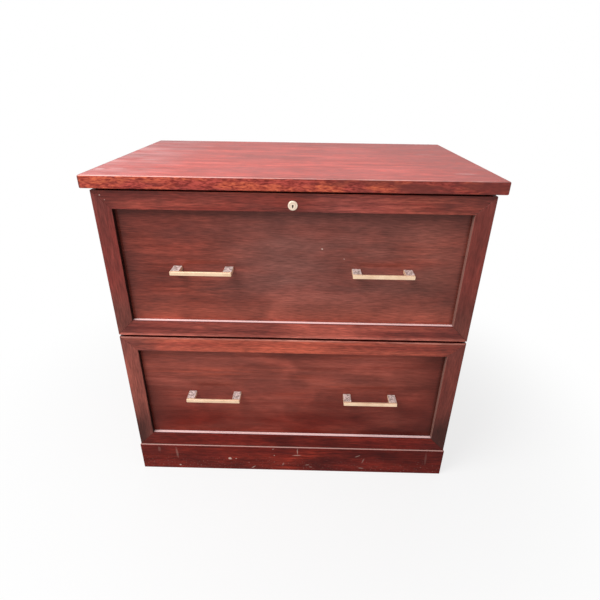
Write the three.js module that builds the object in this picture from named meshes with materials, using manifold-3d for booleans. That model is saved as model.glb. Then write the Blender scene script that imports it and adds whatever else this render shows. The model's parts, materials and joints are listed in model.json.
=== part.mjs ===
// A two-drawer lateral filing cabinet in stained wood, put together as a cabinetmaker would:
// a carcass on a mitred plinth, dovetailed drawer boxes on telescopic runners, mitred
// frame-and-panel drawer fronts with bar pulls, hanging-file bars, a drawer lock whose plug lifts
// a bolt into the top rail, and four levelling feet that are set from inside the cabinet.
// Millimetres, +Z up. The front faces -Y, and the origin is on the floor under the middle.

import * as THREE from 'three';
import { mergeVertices } from 'three/addons/utils/BufferGeometryUtils.js';
import Module from 'manifold-3d';

const wasm = await Module();
wasm.setup();

// Overall
const HEIGHT = 762; // floor to the upper face of the top
const TOP_WIDTH = 805;
const TOP_DEPTH = 515;
const TOP_THICK = 25;
const TOP_FRONT_OVERHANG = 10; // past the faces of the drawer fronts
const TOP_SIDE_OVERHANG = 13.5; // past the sides of the carcass
const TOP_EDGE_EASE = 1.5;
const GLUE_GAP = 0.2; // between faces that are glued, screwed or housed together

// Carcass
const SIDE_THICK = 19;
const BOTTOM_THICK = 18;
const BOTTOM_HOUSING = 8; // how far the bottom reaches into each side
const BACK_THICK = 6;
const BACK_HOUSING = 10;
const RAIL_DEPTH = 60;
const RAIL_HOUSING = 6;
const TOP_RAIL_THICK = 16.5;
const MIDDLE_RAIL_THICK = 18;

// Plinth
const PLINTH_HEIGHT = 80;
const PLINTH_THICK = 19;
const PLINTH_FRONT_PROUD = 2.5; // past the faces of the drawer fronts
const PLINTH_SIDE_PROUD = 1.5; // past the sides of the carcass
const PLINTH_REAR_INSET = 6;

// Levelling feet
const FOOT_RADIUS = 19;
const FOOT_HEIGHT = 8;
const FOOT_EASE = 1; // round the edge that stands on the floor
const FOOT_COLLAR = 3; // past the shank, on top of the pad
const SHANK_RADIUS = 5;
const SHANK_PLAY = 0.3;
const SHANK_SLOT_WIDTH = 1.6;
const SHANK_SLOT_DEPTH = 2;
const FOOT_SIDE_INSET = 60; // from the outside of the carcass to the shank
const FOOT_FRONT_INSET = 70; // from the front edges of the sides
const FOOT_REAR_INSET = 65; // from the back of the cabinet

// Drawer fronts
const FRONT_SIDE_REVEAL = 0.5;
const FRONT_THICK = 22;
const FRONT_STANDOFF = 2; // bumper gap between a front and the carcass behind it
const TOP_REVEAL = 5; // under the top
const MIDDLE_REVEAL = 5; // between the fronts
const BOTTOM_REVEAL = 2; // above the plinth
const FRAME_WIDTH = 36.5;
const FRAME_EASE = 1; // on the inner edge of the frame
const PANEL_RECESS = 12;
const PANEL_THICK = 6;
const PANEL_GROOVE = 12;
const PANEL_PLAY = 1.5; // room for the panel to move in its groove

// Drawer boxes
const BOX_THICK = 12.5;
const BOX_FLOOR_CLEARANCE = 6; // over the bottom of the carcass
const BOX_LOCK_CLEARANCE = 4; // under the case of the lock
const BOX_REAR_CLEARANCE = 29;
const BOX_BOTTOM_THICK = 6;
const BOX_BOTTOM_RISE = 8;
const BOX_BOTTOM_HOUSING = 6;
const TAIL_PITCH = 32;
const TAIL_WIDTH = 20; // at the tip
const TAIL_SLOPE = 1 / 8;

// Hanging-file bars
const BAR_THICK = 3;
const BAR_HEIGHT = 20;
const BAR_SEAT = 6; // how far a bar reaches into each side of the box
const BAR_DROP = 2; // under the upper edge of the box
const BAR_FRONT_GAP = 15; // from the inside of the box to the front bar
const BAR_LETTER_GAP = 94; // from the rear bar to the inside of the box, for letter-size folders
const BAR_LEGAL_GAP = 18; // the same from the spare notches, for legal-size folders

// Telescopic runners
const RUNNER_THICK = 12.7;
const RUNNER_HEIGHT = 45;
const RUNNER_SHEET = 1.2;
const RUNNER_LIP = 2.9;
const RUNNER_MOUTH = 7; // depth of the cabinet member
const RUNNER_PLAY = 0.3;
const RUNNER_RISE = 70; // lower edge of the box to the middle of the runner
const RUNNER_FRONT_SETBACK = 2; // behind the front edges of the sides
const RUNNER_STAGGER = 2; // each inner member starts this much further back
const RUNNER_SCREW_RADIUS = 2.4;
const RUNNER_ACCESS_RADIUS = 7; // lets a screwdriver through the middle member
const RUNNER_HOLE_INSET = 35;
const RUNNER_HOLE_COUNT = 4;

// Pulls
const PULL_LENGTH = 125.5;
const PULL_LEG = 18;
const PULL_PROJECTION = 34.5;
const PULL_BAR = 5;
const PULL_HEIGHT = 8;
const PULL_CORNER = 1.5;
const PULL_EASE = 0.5;
const PULL_OFFSET = 186; // middle of the cabinet to the middle of a pull

// Drawer lock
const LOCK_FACE_RADIUS = 9.5;
const LOCK_FACE_THICK = 2.4;
const LOCK_FACE_RIM = 2; // width of the face's rounded rim
const LOCK_SHOULDER = [0.6, 0.7]; // the rim's middle point, in from the edge and back from the face
const LOCK_BARREL_RADIUS = 7.5;
const LOCK_PLUG_RADIUS = 5.5;
const LOCK_PLAY = 0.3;
const LOCK_CASE_WIDTH = 44;
const LOCK_CASE_ABOVE = 9.5; // over the axis of the plug
const LOCK_CASE_BELOW = 16;
const LOCK_CASE_WALL = 2.4;
const LOCK_RAIL_CLEARANCE = 0.8; // case to strike plate
const BOLT_SETBACK = 9; // behind the back of the drawer front
const BOLT_THICK = 3.6;
const BOLT_WIDTH = 22;
const CRANK_RADIUS = 1.5;
const CRANK_OFFSET = 3.9; // half of the bolt's throw
const CRANK_BACKLASH = 1.2;
const KEYHOLE_RADIUS = 1.9;
const KEYHOLE_WIDTH = 1.8;
const KEYHOLE_DROP = 4.4;
const KEYHOLE_DEPTH = 9;
const STRIKE_THICK = 1.2;
const STRIKE_WIDTH = 48;
const STRIKE_DEPTH = 24;
const STRIKE_FRONT_INSET = 1;
const STRIKE_PLAY = 0.8;

// Facets
const CUT_PAST = 1; // how far a cutter reaches past what it cuts
const ROUND_SIDES = 32;
const SMALL_ROUND_SIDES = 16;
const HOLE_SIDES = 10;
const CORNER_STEPS = 3;

// Places worked out from the sizes above, with the faces of the drawer fronts at Y 0
const rear = TOP_DEPTH - TOP_FRONT_OVERHANG;
const carcassHalf = TOP_WIDTH / 2 - TOP_SIDE_OVERHANG;
const bayHalf = carcassHalf - SIDE_THICK;
const carcassFront = FRONT_THICK + FRONT_STANDOFF;
const topUnder = HEIGHT - TOP_THICK;
const railUnder = topUnder - GLUE_GAP - TOP_RAIL_THICK;
const bottomUpper = PLINTH_HEIGHT + GLUE_GAP + BOTTOM_THICK;
const frontWidth = 2 * (carcassHalf - FRONT_SIDE_REVEAL);
const frontHeight = (topUnder - PLINTH_HEIGHT - TOP_REVEAL - MIDDLE_REVEAL - BOTTOM_REVEAL) / 2;
const lowerFrontZ = PLINTH_HEIGHT + BOTTOM_REVEAL;
const upperFrontZ = lowerFrontZ + frontHeight + MIDDLE_REVEAL;
const middleRailZ = upperFrontZ - MIDDLE_REVEAL / 2;
const strikeUnder = railUnder - GLUE_GAP - STRIKE_THICK;
const boltFront = FRONT_THICK + BOLT_SETBACK;

// Places in a drawer, measured from the lower edge of its front
const lockZ = strikeUnder - LOCK_RAIL_CLEARANCE - LOCK_CASE_ABOVE - upperFrontZ;
const boxHalf = bayHalf - RUNNER_THICK - 2 * GLUE_GAP;
const boxInner = boxHalf - BOX_THICK;
const boxFront = FRONT_THICK + GLUE_GAP;
const boxRear = rear - BACK_THICK - BOX_REAR_CLEARANCE;
const boxLow = bottomUpper + BOX_FLOOR_CLEARANCE - lowerFrontZ;
const boxHigh = lockZ - LOCK_CASE_BELOW - BOX_LOCK_CLEARANCE;
const runnerZ = boxLow + RUNNER_RISE;
const runnerFront = carcassFront + RUNNER_FRONT_SETBACK;
const barHigh = boxHigh - BAR_DROP;

// Finishes
function finish(color, roughness, metalness) {
  return new THREE.MeshStandardMaterial({ color, roughness, metalness });
}
const stainedWood = finish(0x5f2722, 0.35, 0);
const boxWood = finish(0xc9a877, 0.6, 0);
const zincSteel = finish(0xb4b8bb, 0.4, 1);
const satinNickel = finish(0xcfc2ac, 0.35, 1);
const blackNylon = finish(0x1d1d1f, 0.7, 0);

// Solids: geometry goes to the boolean library and back
function solid(geometry) {
  const bare = geometry.index ? geometry.toNonIndexed() : geometry.clone();
  bare.deleteAttribute('normal');
  bare.deleteAttribute('uv');
  const merged = mergeVertices(bare);
  const vertProperties = merged.getAttribute('position').array;
  const triVerts = new Uint32Array(merged.index.array);
  return new wasm.Manifold(new wasm.Mesh({ numProp: 3, vertProperties, triVerts }));
}

function geometryOf(body) {
  const { vertProperties, triVerts } = body.getMesh();
  const made = new THREE.BufferGeometry();
  made.setAttribute('position', new THREE.BufferAttribute(vertProperties, 3));
  made.setIndex(new THREE.BufferAttribute(triVerts, 1));
  const flat = made.toNonIndexed();
  flat.computeVertexNormals();
  return flat;
}

function cut(geometry, ...cutters) {
  return geometryOf(cutters.reduce((left, cutter) => left.subtract(solid(cutter)), solid(geometry)));
}

function join(geometry, other) {
  return geometryOf(solid(geometry).add(solid(other)));
}

// A named piece of the assembly, in its group, at a place
function piece(group, name, geometry, material, x = 0, y = 0, z = 0) {
  const mesh = new THREE.Mesh(geometry, material);
  mesh.name = name;
  mesh.position.set(x, y, z);
  group.add(mesh);
  return mesh;
}

// Forms
function block(x, y, z) {
  const made = new THREE.BoxGeometry(x[1] - x[0], y[1] - y[0], z[1] - z[0]);
  return made.translate((x[0] + x[1]) / 2, (y[0] + y[1]) / 2, (z[0] + z[1]) / 2);
}

function outline(points) {
  return new THREE.Shape(points.map(([x, y]) => new THREE.Vector2(x, y)));
}

function extrude(shape, depth) {
  return new THREE.ExtrudeGeometry(shape, { depth, bevelEnabled: false, curveSegments: CORNER_STEPS });
}

// An outline in Y and Z, carried from one X to another
function alongX(points, from, to) {
  const turn = new THREE.Matrix4().makeBasis(
    new THREE.Vector3(0, 1, 0),
    new THREE.Vector3(0, 0, 1),
    new THREE.Vector3(1, 0, 0),
  );
  return extrude(outline(points), to - from).applyMatrix4(turn).translate(from, 0, 0);
}

// An outline in X and Z, carried from one Y to another
function alongY(points, from, to) {
  return extrude(outline(points), to - from).rotateX(Math.PI / 2).translate(0, to, 0);
}

// A shape in X and Y, raised to a height, with its upper and lower edges eased by a small bevel
function easedPlate(shape, height, ease) {
  const made = new THREE.ExtrudeGeometry(shape, {
    depth: height - 2 * ease,
    bevelSize: ease,
    bevelThickness: ease,
    bevelOffset: -ease,
    bevelSegments: 1,
    curveSegments: CORNER_STEPS,
  });
  return made.translate(0, 0, ease);
}

// A round rod along Y
function rodY(radius, from, to, sides) {
  return new THREE.CylinderGeometry(radius, radius, to - from, sides).translate(0, (from + to) / 2, 0);
}

// A round rod along X, reaching as far to the left of zero as to the right
function rodX(radius, reach, sides) {
  return new THREE.CylinderGeometry(radius, radius, 2 * reach, sides).rotateZ(Math.PI / 2);
}

// A profile of radius and height turned about Y
function turned(points, sides) {
  return new THREE.LatheGeometry(points.map(([r, y]) => new THREE.Vector2(r, y)), sides);
}

// Sheet metal folded along a path of points, as the outline of its section
function foldedStrip(path, thickness) {
  const points = path.map(([x, y]) => new THREE.Vector2(x, y));
  const side = (offset) => points.map((point, i) => {
    const before = point.clone().sub(points[Math.max(i - 1, 0)]).normalize();
    const after = points[Math.min(i + 1, points.length - 1)].clone().sub(point).normalize();
    const into = i === 0 ? after : before;
    const outOf = i === points.length - 1 ? before : after;
    const miter = new THREE.Vector2(-into.y - outOf.y, into.x + outOf.x);
    const reach = offset / (1 + into.dot(outOf));
    return [point.x + miter.x * reach, point.y + miter.y * reach];
  });
  return [...side(thickness / 2), ...side(-thickness / 2).reverse()];
}

// Carcass: the top, two sides, the back, the bottom and two front rails
function makeCarcass(cabinet) {
  const topShape = outline([
    [-TOP_WIDTH / 2, -TOP_FRONT_OVERHANG],
    [TOP_WIDTH / 2, -TOP_FRONT_OVERHANG],
    [TOP_WIDTH / 2, rear],
    [-TOP_WIDTH / 2, rear],
  ]);
  piece(cabinet, 'top_panel', easedPlate(topShape, TOP_THICK, TOP_EDGE_EASE), stainedWood, 0, 0, topUnder);

  const railBack = carcassFront + RAIL_DEPTH;
  const backFront = rear - BACK_THICK;
  const middleRail = [middleRailZ - MIDDLE_RAIL_THICK / 2, middleRailZ + MIDDLE_RAIL_THICK / 2];
  const sideFoot = PLINTH_HEIGHT + GLUE_GAP;
  const sideHead = topUnder - GLUE_GAP;
  for (const [hand, sign] of [['left', -1], ['right', 1]]) {
    const across = (inner, outer) => [sign * inner, sign * outer].sort((a, b) => a - b);
    const housed = (reach) => across(bayHalf - GLUE_GAP, bayHalf + reach);
    const railRun = [carcassFront - GLUE_GAP, railBack + GLUE_GAP];
    const side = cut(
      block(across(bayHalf, carcassHalf), [carcassFront, rear], [sideFoot, sideHead]),
      block(
        housed(BACK_HOUSING),
        [backFront - GLUE_GAP, rear + GLUE_GAP],
        [sideFoot - CUT_PAST, sideHead + CUT_PAST],
      ),
      block(
        housed(BOTTOM_HOUSING),
        [carcassFront - CUT_PAST, rear],
        [sideFoot - CUT_PAST, bottomUpper + GLUE_GAP],
      ),
      block(housed(RAIL_HOUSING), railRun, [middleRail[0] - GLUE_GAP, middleRail[1] + GLUE_GAP]),
      block(housed(RAIL_HOUSING), railRun, [railUnder - GLUE_GAP, sideHead + CUT_PAST]),
    );
    piece(cabinet, `${hand}_side_panel`, side, stainedWood);
  }

  const backHalf = bayHalf + BACK_HOUSING - GLUE_GAP;
  const back = block([-backHalf, backHalf], [backFront, rear], [sideFoot, sideHead]);
  piece(cabinet, 'back_panel', back, stainedWood);

  const bottomHalf = bayHalf + BOTTOM_HOUSING - GLUE_GAP;
  const bottomRun = [carcassFront, backFront - GLUE_GAP];
  const shankBore = SHANK_RADIUS + SHANK_PLAY;
  const bottom = cut(
    block([-bottomHalf, bottomHalf], bottomRun, [sideFoot, bottomUpper]),
    ...footPlaces().map(({ x, y }) => new THREE.CylinderGeometry(
      shankBore, shankBore, 2 * (BOTTOM_THICK + CUT_PAST), SMALL_ROUND_SIDES,
    ).rotateX(Math.PI / 2).translate(x, y, sideFoot)),
  );
  piece(cabinet, 'bottom_panel', bottom, stainedWood);

  const railHalf = bayHalf + RAIL_HOUSING - GLUE_GAP;
  const railRun = [carcassFront, railBack];
  const topRail = cut(
    block([-railHalf, railHalf], railRun, [railUnder, sideHead]),
    strikeSlot([railUnder - CUT_PAST, railUnder + 2 * CRANK_OFFSET]),
  );
  piece(cabinet, 'top_front_rail', topRail, stainedWood);
  piece(cabinet, 'middle_rail', block([-railHalf, railHalf], railRun, middleRail), stainedWood);
}

// Plinth: mitred at the front corners, with the rear board between the sides
function makePlinth(cabinet) {
  const half = carcassHalf + PLINTH_SIDE_PROUD;
  const inner = half - PLINTH_THICK;
  const face = -PLINTH_FRONT_PROUD;
  const raise = (points) => extrude(outline(points), PLINTH_HEIGHT);

  const front = raise([
    [-half + GLUE_GAP, face],
    [half - GLUE_GAP, face],
    [inner - GLUE_GAP, face + PLINTH_THICK],
    [-inner + GLUE_GAP, face + PLINTH_THICK],
  ]);
  piece(cabinet, 'plinth_front', front, stainedWood);

  const right = raise([[half, face], [half, rear], [inner, rear], [inner, face + PLINTH_THICK]]);
  piece(cabinet, 'plinth_right', right, stainedWood);
  const left = raise([[-half, face], [-inner, face + PLINTH_THICK], [-inner, rear], [-half, rear]]);
  piece(cabinet, 'plinth_left', left, stainedWood);

  const rearHalf = inner - GLUE_GAP;
  const rearRun = [rear - PLINTH_REAR_INSET - PLINTH_THICK, rear - PLINTH_REAR_INSET];
  piece(cabinet, 'plinth_rear', block([-rearHalf, rearHalf], rearRun, [0, PLINTH_HEIGHT]), stainedWood);
}

// Levelling feet: a nylon pad on a shank that screws through the bottom of the carcass
function footPlaces() {
  const places = [];
  for (const [end, y] of [['front', carcassFront + FOOT_FRONT_INSET], ['rear', rear - FOOT_REAR_INSET]]) {
    for (const [hand, sign] of [['left', -1], ['right', 1]]) {
      places.push({ name: `leveller_${end}_${hand}`, x: sign * (carcassHalf - FOOT_SIDE_INSET), y });
    }
  }
  return places;
}

function makeFeet(cabinet) {
  const shankTop = bottomUpper + BOX_FLOOR_CLEARANCE / 2;
  const rim = FOOT_HEIGHT / 2;
  const profile = [
    [0, 0],
    [FOOT_RADIUS - FOOT_EASE, 0],
    [FOOT_RADIUS, FOOT_EASE],
    [FOOT_RADIUS, rim],
    [SHANK_RADIUS + FOOT_COLLAR, FOOT_HEIGHT],
    [SHANK_RADIUS, FOOT_HEIGHT],
    [SHANK_RADIUS, shankTop],
    [0, shankTop],
  ];
  const slot = block(
    [-2 * SHANK_RADIUS, 2 * SHANK_RADIUS],
    [-SHANK_SLOT_WIDTH / 2, SHANK_SLOT_WIDTH / 2],
    [shankTop - SHANK_SLOT_DEPTH, shankTop + CUT_PAST],
  );
  const foot = cut(turned(profile, SMALL_ROUND_SIDES).rotateX(Math.PI / 2), slot);
  for (const { name, x, y } of footPlaces()) {
    piece(cabinet, name, foot, blackNylon, x, y, 0);
  }
}

// Telescopic runners: three folded-steel members, each held inside the lips of the next
function runnerSections() {
  const half = RUNNER_SHEET / 2;
  const step = RUNNER_SHEET + RUNNER_PLAY;
  const mirrored = (path) => [...path, ...path.map(([x, z]) => [x, -z]).reverse()];

  const outerFlange = RUNNER_HEIGHT / 2 - half;
  const outerLip = RUNNER_HEIGHT / 2 - RUNNER_LIP;
  const outerMouth = RUNNER_MOUTH - half;
  const cabinetMember = mirrored([[outerMouth, outerLip], [outerMouth, outerFlange], [half, outerFlange]]);

  const innerFlange = outerLip - RUNNER_PLAY - half;
  const innerLip = innerFlange + half - RUNNER_LIP;
  const innerMouth = RUNNER_THICK - step - half;
  const middleMember = mirrored([
    [innerMouth, innerLip],
    [innerMouth, innerFlange],
    [outerMouth - step, innerFlange],
    [outerMouth - step, outerFlange - step],
    [half + step, outerFlange - step],
  ]);

  const drawerFlange = innerLip - RUNNER_PLAY - half;
  const drawerMember = mirrored([
    [innerMouth - step, innerFlange - half - RUNNER_PLAY],
    [innerMouth - step, drawerFlange],
    [RUNNER_THICK - half, drawerFlange],
  ]);
  return { cabinet: cabinetMember, middle: middleMember, drawer: drawerMember };
}

function runnerHolePlaces() {
  const first = runnerFront + RUNNER_HOLE_INSET;
  const pitch = (boxRear - RUNNER_HOLE_INSET - first) / (RUNNER_HOLE_COUNT - 1);
  return Array.from({ length: RUNNER_HOLE_COUNT }, (_, i) => first + i * pitch);
}

function makeRunners(cabinet, level, frontZ) {
  const sections = runnerSections();
  Object.entries(sections).forEach(([member, path], order) => {
    const from = runnerFront + order * RUNNER_STAGGER;
    const to = boxRear - order * RUNNER_STAGGER;
    const radius = member === 'middle' ? RUNNER_ACCESS_RADIUS : RUNNER_SCREW_RADIUS;
    const drill = rodX(radius, RUNNER_THICK, HOLE_SIDES);
    const holes = runnerHolePlaces().map((y) => drill.clone().translate(0, y, 0));
    for (const [hand, sign] of [['left', 1], ['right', -1]]) {
      const strip = foldedStrip(path, RUNNER_SHEET).map(([x, z]) => [sign * x, z]);
      const wall = -sign * (bayHalf - GLUE_GAP);
      const name = `${level}_${hand}_${member}_runner`;
      piece(cabinet, name, cut(alongY(strip, from, to), ...holes), zincSteel, wall, 0, frontZ + runnerZ);
    }
  });
}

// Drawer front: a mitred frame round a panel that floats in its groove
function frameMember(length) {
  const groove = [PANEL_RECESS - GLUE_GAP, PANEL_RECESS + PANEL_THICK + GLUE_GAP];
  const profile = outline([
    [0, 0],
    [FRAME_WIDTH - FRAME_EASE, 0],
    [FRAME_WIDTH, FRAME_EASE],
    [FRAME_WIDTH, groove[0]],
    [FRAME_WIDTH - PANEL_GROOVE, groove[0]],
    [FRAME_WIDTH - PANEL_GROOVE, groove[1]],
    [FRAME_WIDTH, groove[1]],
    [FRAME_WIDTH, FRONT_THICK],
    [0, FRONT_THICK],
  ]);
  const made = extrude(profile, length);
  const position = made.getAttribute('position');
  for (let i = 0; i < position.count; i += 1) {
    const mitre = position.getX(i) + GLUE_GAP / 2;
    position.setZ(i, position.getZ(i) < length / 2 ? mitre : length - mitre);
  }
  return made;
}

function makeFront(drawer, level, hasLock) {
  const half = frontWidth / 2;
  const members = [
    { name: 'top_rail', inward: [0, 0, -1], corner: [-half, 0, frontHeight], length: frontWidth },
    { name: 'bottom_rail', inward: [0, 0, 1], corner: [half, 0, 0], length: frontWidth },
    { name: 'left_stile', inward: [1, 0, 0], corner: [-half, 0, 0], length: frontHeight },
    { name: 'right_stile', inward: [-1, 0, 0], corner: [half, 0, frontHeight], length: frontHeight },
  ];
  const lockBore = rodY(LOCK_BARREL_RADIUS + LOCK_PLAY, -CUT_PAST, FRONT_THICK + CUT_PAST, ROUND_SIDES);
  for (const { name, inward, corner, length } of members) {
    let form = frameMember(length);
    if (hasLock && name === 'top_rail') {
      form = cut(form, lockBore.clone().translate(frontHeight - lockZ, 0, half));
    }
    const mesh = piece(drawer, `${level}_front_${name}`, form, stainedWood, ...corner);
    const across = new THREE.Vector3(...inward);
    const back = new THREE.Vector3(0, 1, 0);
    const along = across.clone().cross(back);
    mesh.setRotationFromMatrix(new THREE.Matrix4().makeBasis(across, back, along));
  }

  const tongue = FRAME_WIDTH - PANEL_GROOVE + PANEL_PLAY;
  let panel = block(
    [-half + tongue, half - tongue],
    [PANEL_RECESS, PANEL_RECESS + PANEL_THICK],
    [tongue, frontHeight - tongue],
  );
  if (hasLock) {
    panel = cut(panel, lockBore.clone().translate(0, 0, lockZ));
  }
  piece(drawer, `${level}_front_panel`, panel, stainedWood);
}

// Drawer box: through dovetails at the corners, the bottom in grooves, notches for the file bars
function tailCentres() {
  const count = Math.floor((boxHigh - boxLow) / TAIL_PITCH);
  const first = (boxLow + boxHigh - (count - 1) * TAIL_PITCH) / 2;
  return Array.from({ length: count }, (_, i) => first + i * TAIL_PITCH);
}

// One tail as four points in Y and Z, from its root to its tip and back
function tail(centre, root, tip, grow) {
  const wide = TAIL_WIDTH / 2 + grow;
  const narrow = wide - BOX_THICK * TAIL_SLOPE;
  return [[root, centre - narrow], [tip, centre - wide], [tip, centre + wide], [root, centre + narrow]];
}

function makeBox(drawer, level) {
  const frontRoot = boxFront + BOX_THICK;
  const rearRoot = boxRear - BOX_THICK;
  const bottomLow = boxLow + BOX_BOTTOM_RISE;
  const bottomX = boxInner + BOX_BOTTOM_HOUSING - GLUE_GAP;
  const bottomY = [frontRoot - BOX_BOTTOM_HOUSING + GLUE_GAP, rearRoot + BOX_BOTTOM_HOUSING - GLUE_GAP];
  const bottomZ = [bottomLow, bottomLow + BOX_BOTTOM_THICK];
  const widened = ([low, high]) => [low - GLUE_GAP, high + GLUE_GAP];
  const bottomGroove = block(widened([-bottomX, bottomX]), widened(bottomY), widened(bottomZ));
  piece(drawer, `${level}_box_bottom`, block([-bottomX, bottomX], bottomY, bottomZ), boxWood);

  const barX = boxInner + BAR_SEAT - GLUE_GAP;
  const barZ = [barHigh - BAR_HEIGHT, barHigh];
  const seats = [
    { bar: 'front_file_bar', y: frontRoot + BAR_FRONT_GAP },
    { bar: 'rear_file_bar', y: rearRoot - BAR_LETTER_GAP - BAR_THICK },
    { bar: null, y: rearRoot - BAR_LEGAL_GAP - BAR_THICK },
  ];
  const notches = seats.map(({ bar, y }) => {
    const barY = [y, y + BAR_THICK];
    if (bar) {
      piece(drawer, `${level}_${bar}`, block([-barX, barX], barY, barZ), zincSteel);
    }
    return block(widened([-barX, barX]), widened(barY), [barZ[0] - GLUE_GAP, boxHigh + CUT_PAST]);
  });

  const tailBoard = [
    [frontRoot, boxLow],
    [rearRoot, boxLow],
    ...tailCentres().flatMap((centre) => tail(centre, rearRoot, boxRear, 0)),
    [rearRoot, boxHigh],
    [frontRoot, boxHigh],
    ...tailCentres().reverse().flatMap((centre) => tail(centre, frontRoot, boxFront, 0).reverse()),
  ];
  for (const [hand, x] of [['left', [-boxHalf, -boxInner]], ['right', [boxInner, boxHalf]]]) {
    const side = cut(alongX(tailBoard, ...x), bottomGroove, ...notches);
    piece(drawer, `${level}_box_${hand}_side`, side, boxWood);
  }

  const pinBoards = [
    { end: 'front', y: [boxFront, frontRoot - GLUE_GAP], root: frontRoot, tip: boxFront - CUT_PAST },
    { end: 'back', y: [rearRoot + GLUE_GAP, boxRear], root: rearRoot, tip: boxRear + CUT_PAST },
  ];
  for (const { end, y, root, tip } of pinBoards) {
    const sockets = tailCentres().flatMap((centre) => {
      const socket = tail(centre, root, tip, GLUE_GAP);
      return [
        alongX(socket, -boxHalf - CUT_PAST, -boxInner + GLUE_GAP),
        alongX(socket, boxInner - GLUE_GAP, boxHalf + CUT_PAST),
      ];
    });
    const board = cut(block([-boxHalf, boxHalf], y, [boxLow, boxHigh]), bottomGroove, ...sockets);
    piece(drawer, `${level}_box_${end}`, board, boxWood);
  }
}

// Pull: a flat bar on two broad legs that stand on the panel
function pullShape() {
  const end = PULL_LENGTH / 2;
  const leg = end - PULL_LEG;
  const inside = -PULL_PROJECTION + PULL_BAR;
  const shape = new THREE.Shape();
  shape.moveTo(leg, 0);
  shape.lineTo(leg, inside);
  shape.lineTo(-leg, inside);
  shape.lineTo(-leg, 0);
  shape.lineTo(-end, 0);
  shape.lineTo(-end, -PULL_PROJECTION + PULL_CORNER);
  shape.quadraticCurveTo(-end, -PULL_PROJECTION, -end + PULL_CORNER, -PULL_PROJECTION);
  shape.lineTo(end - PULL_CORNER, -PULL_PROJECTION);
  shape.quadraticCurveTo(end, -PULL_PROJECTION, end, -PULL_PROJECTION + PULL_CORNER);
  shape.lineTo(end, 0);
  return shape;
}

function makePulls(drawer, level) {
  const pull = easedPlate(pullShape(), PULL_HEIGHT, PULL_EASE);
  const foot = PANEL_RECESS - GLUE_GAP;
  const low = (frontHeight - PULL_HEIGHT) / 2;
  piece(drawer, `${level}_left_pull`, pull, satinNickel, -PULL_OFFSET, foot, low);
  piece(drawer, `${level}_right_pull`, pull, satinNickel, PULL_OFFSET, foot, low);
}

// Lock: the plug turns in its barrel, and a crank on its tail lifts the bolt out of the case
function strikeSlot(z) {
  const half = BOLT_WIDTH / 2 + STRIKE_PLAY;
  return block([-half, half], [boltFront - STRIKE_PLAY, boltFront + BOLT_THICK + STRIKE_PLAY], z);
}

function makeStrike(cabinet) {
  const half = STRIKE_WIDTH / 2;
  const front = carcassFront + STRIKE_FRONT_INSET;
  const upper = strikeUnder + STRIKE_THICK;
  const plate = block([-half, half], [front, front + STRIKE_DEPTH], [strikeUnder, upper]);
  const slot = strikeSlot([strikeUnder - CUT_PAST, upper + CUT_PAST]);
  piece(cabinet, 'lock_strike_plate', cut(plate, slot), zincSteel);
}

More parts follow.
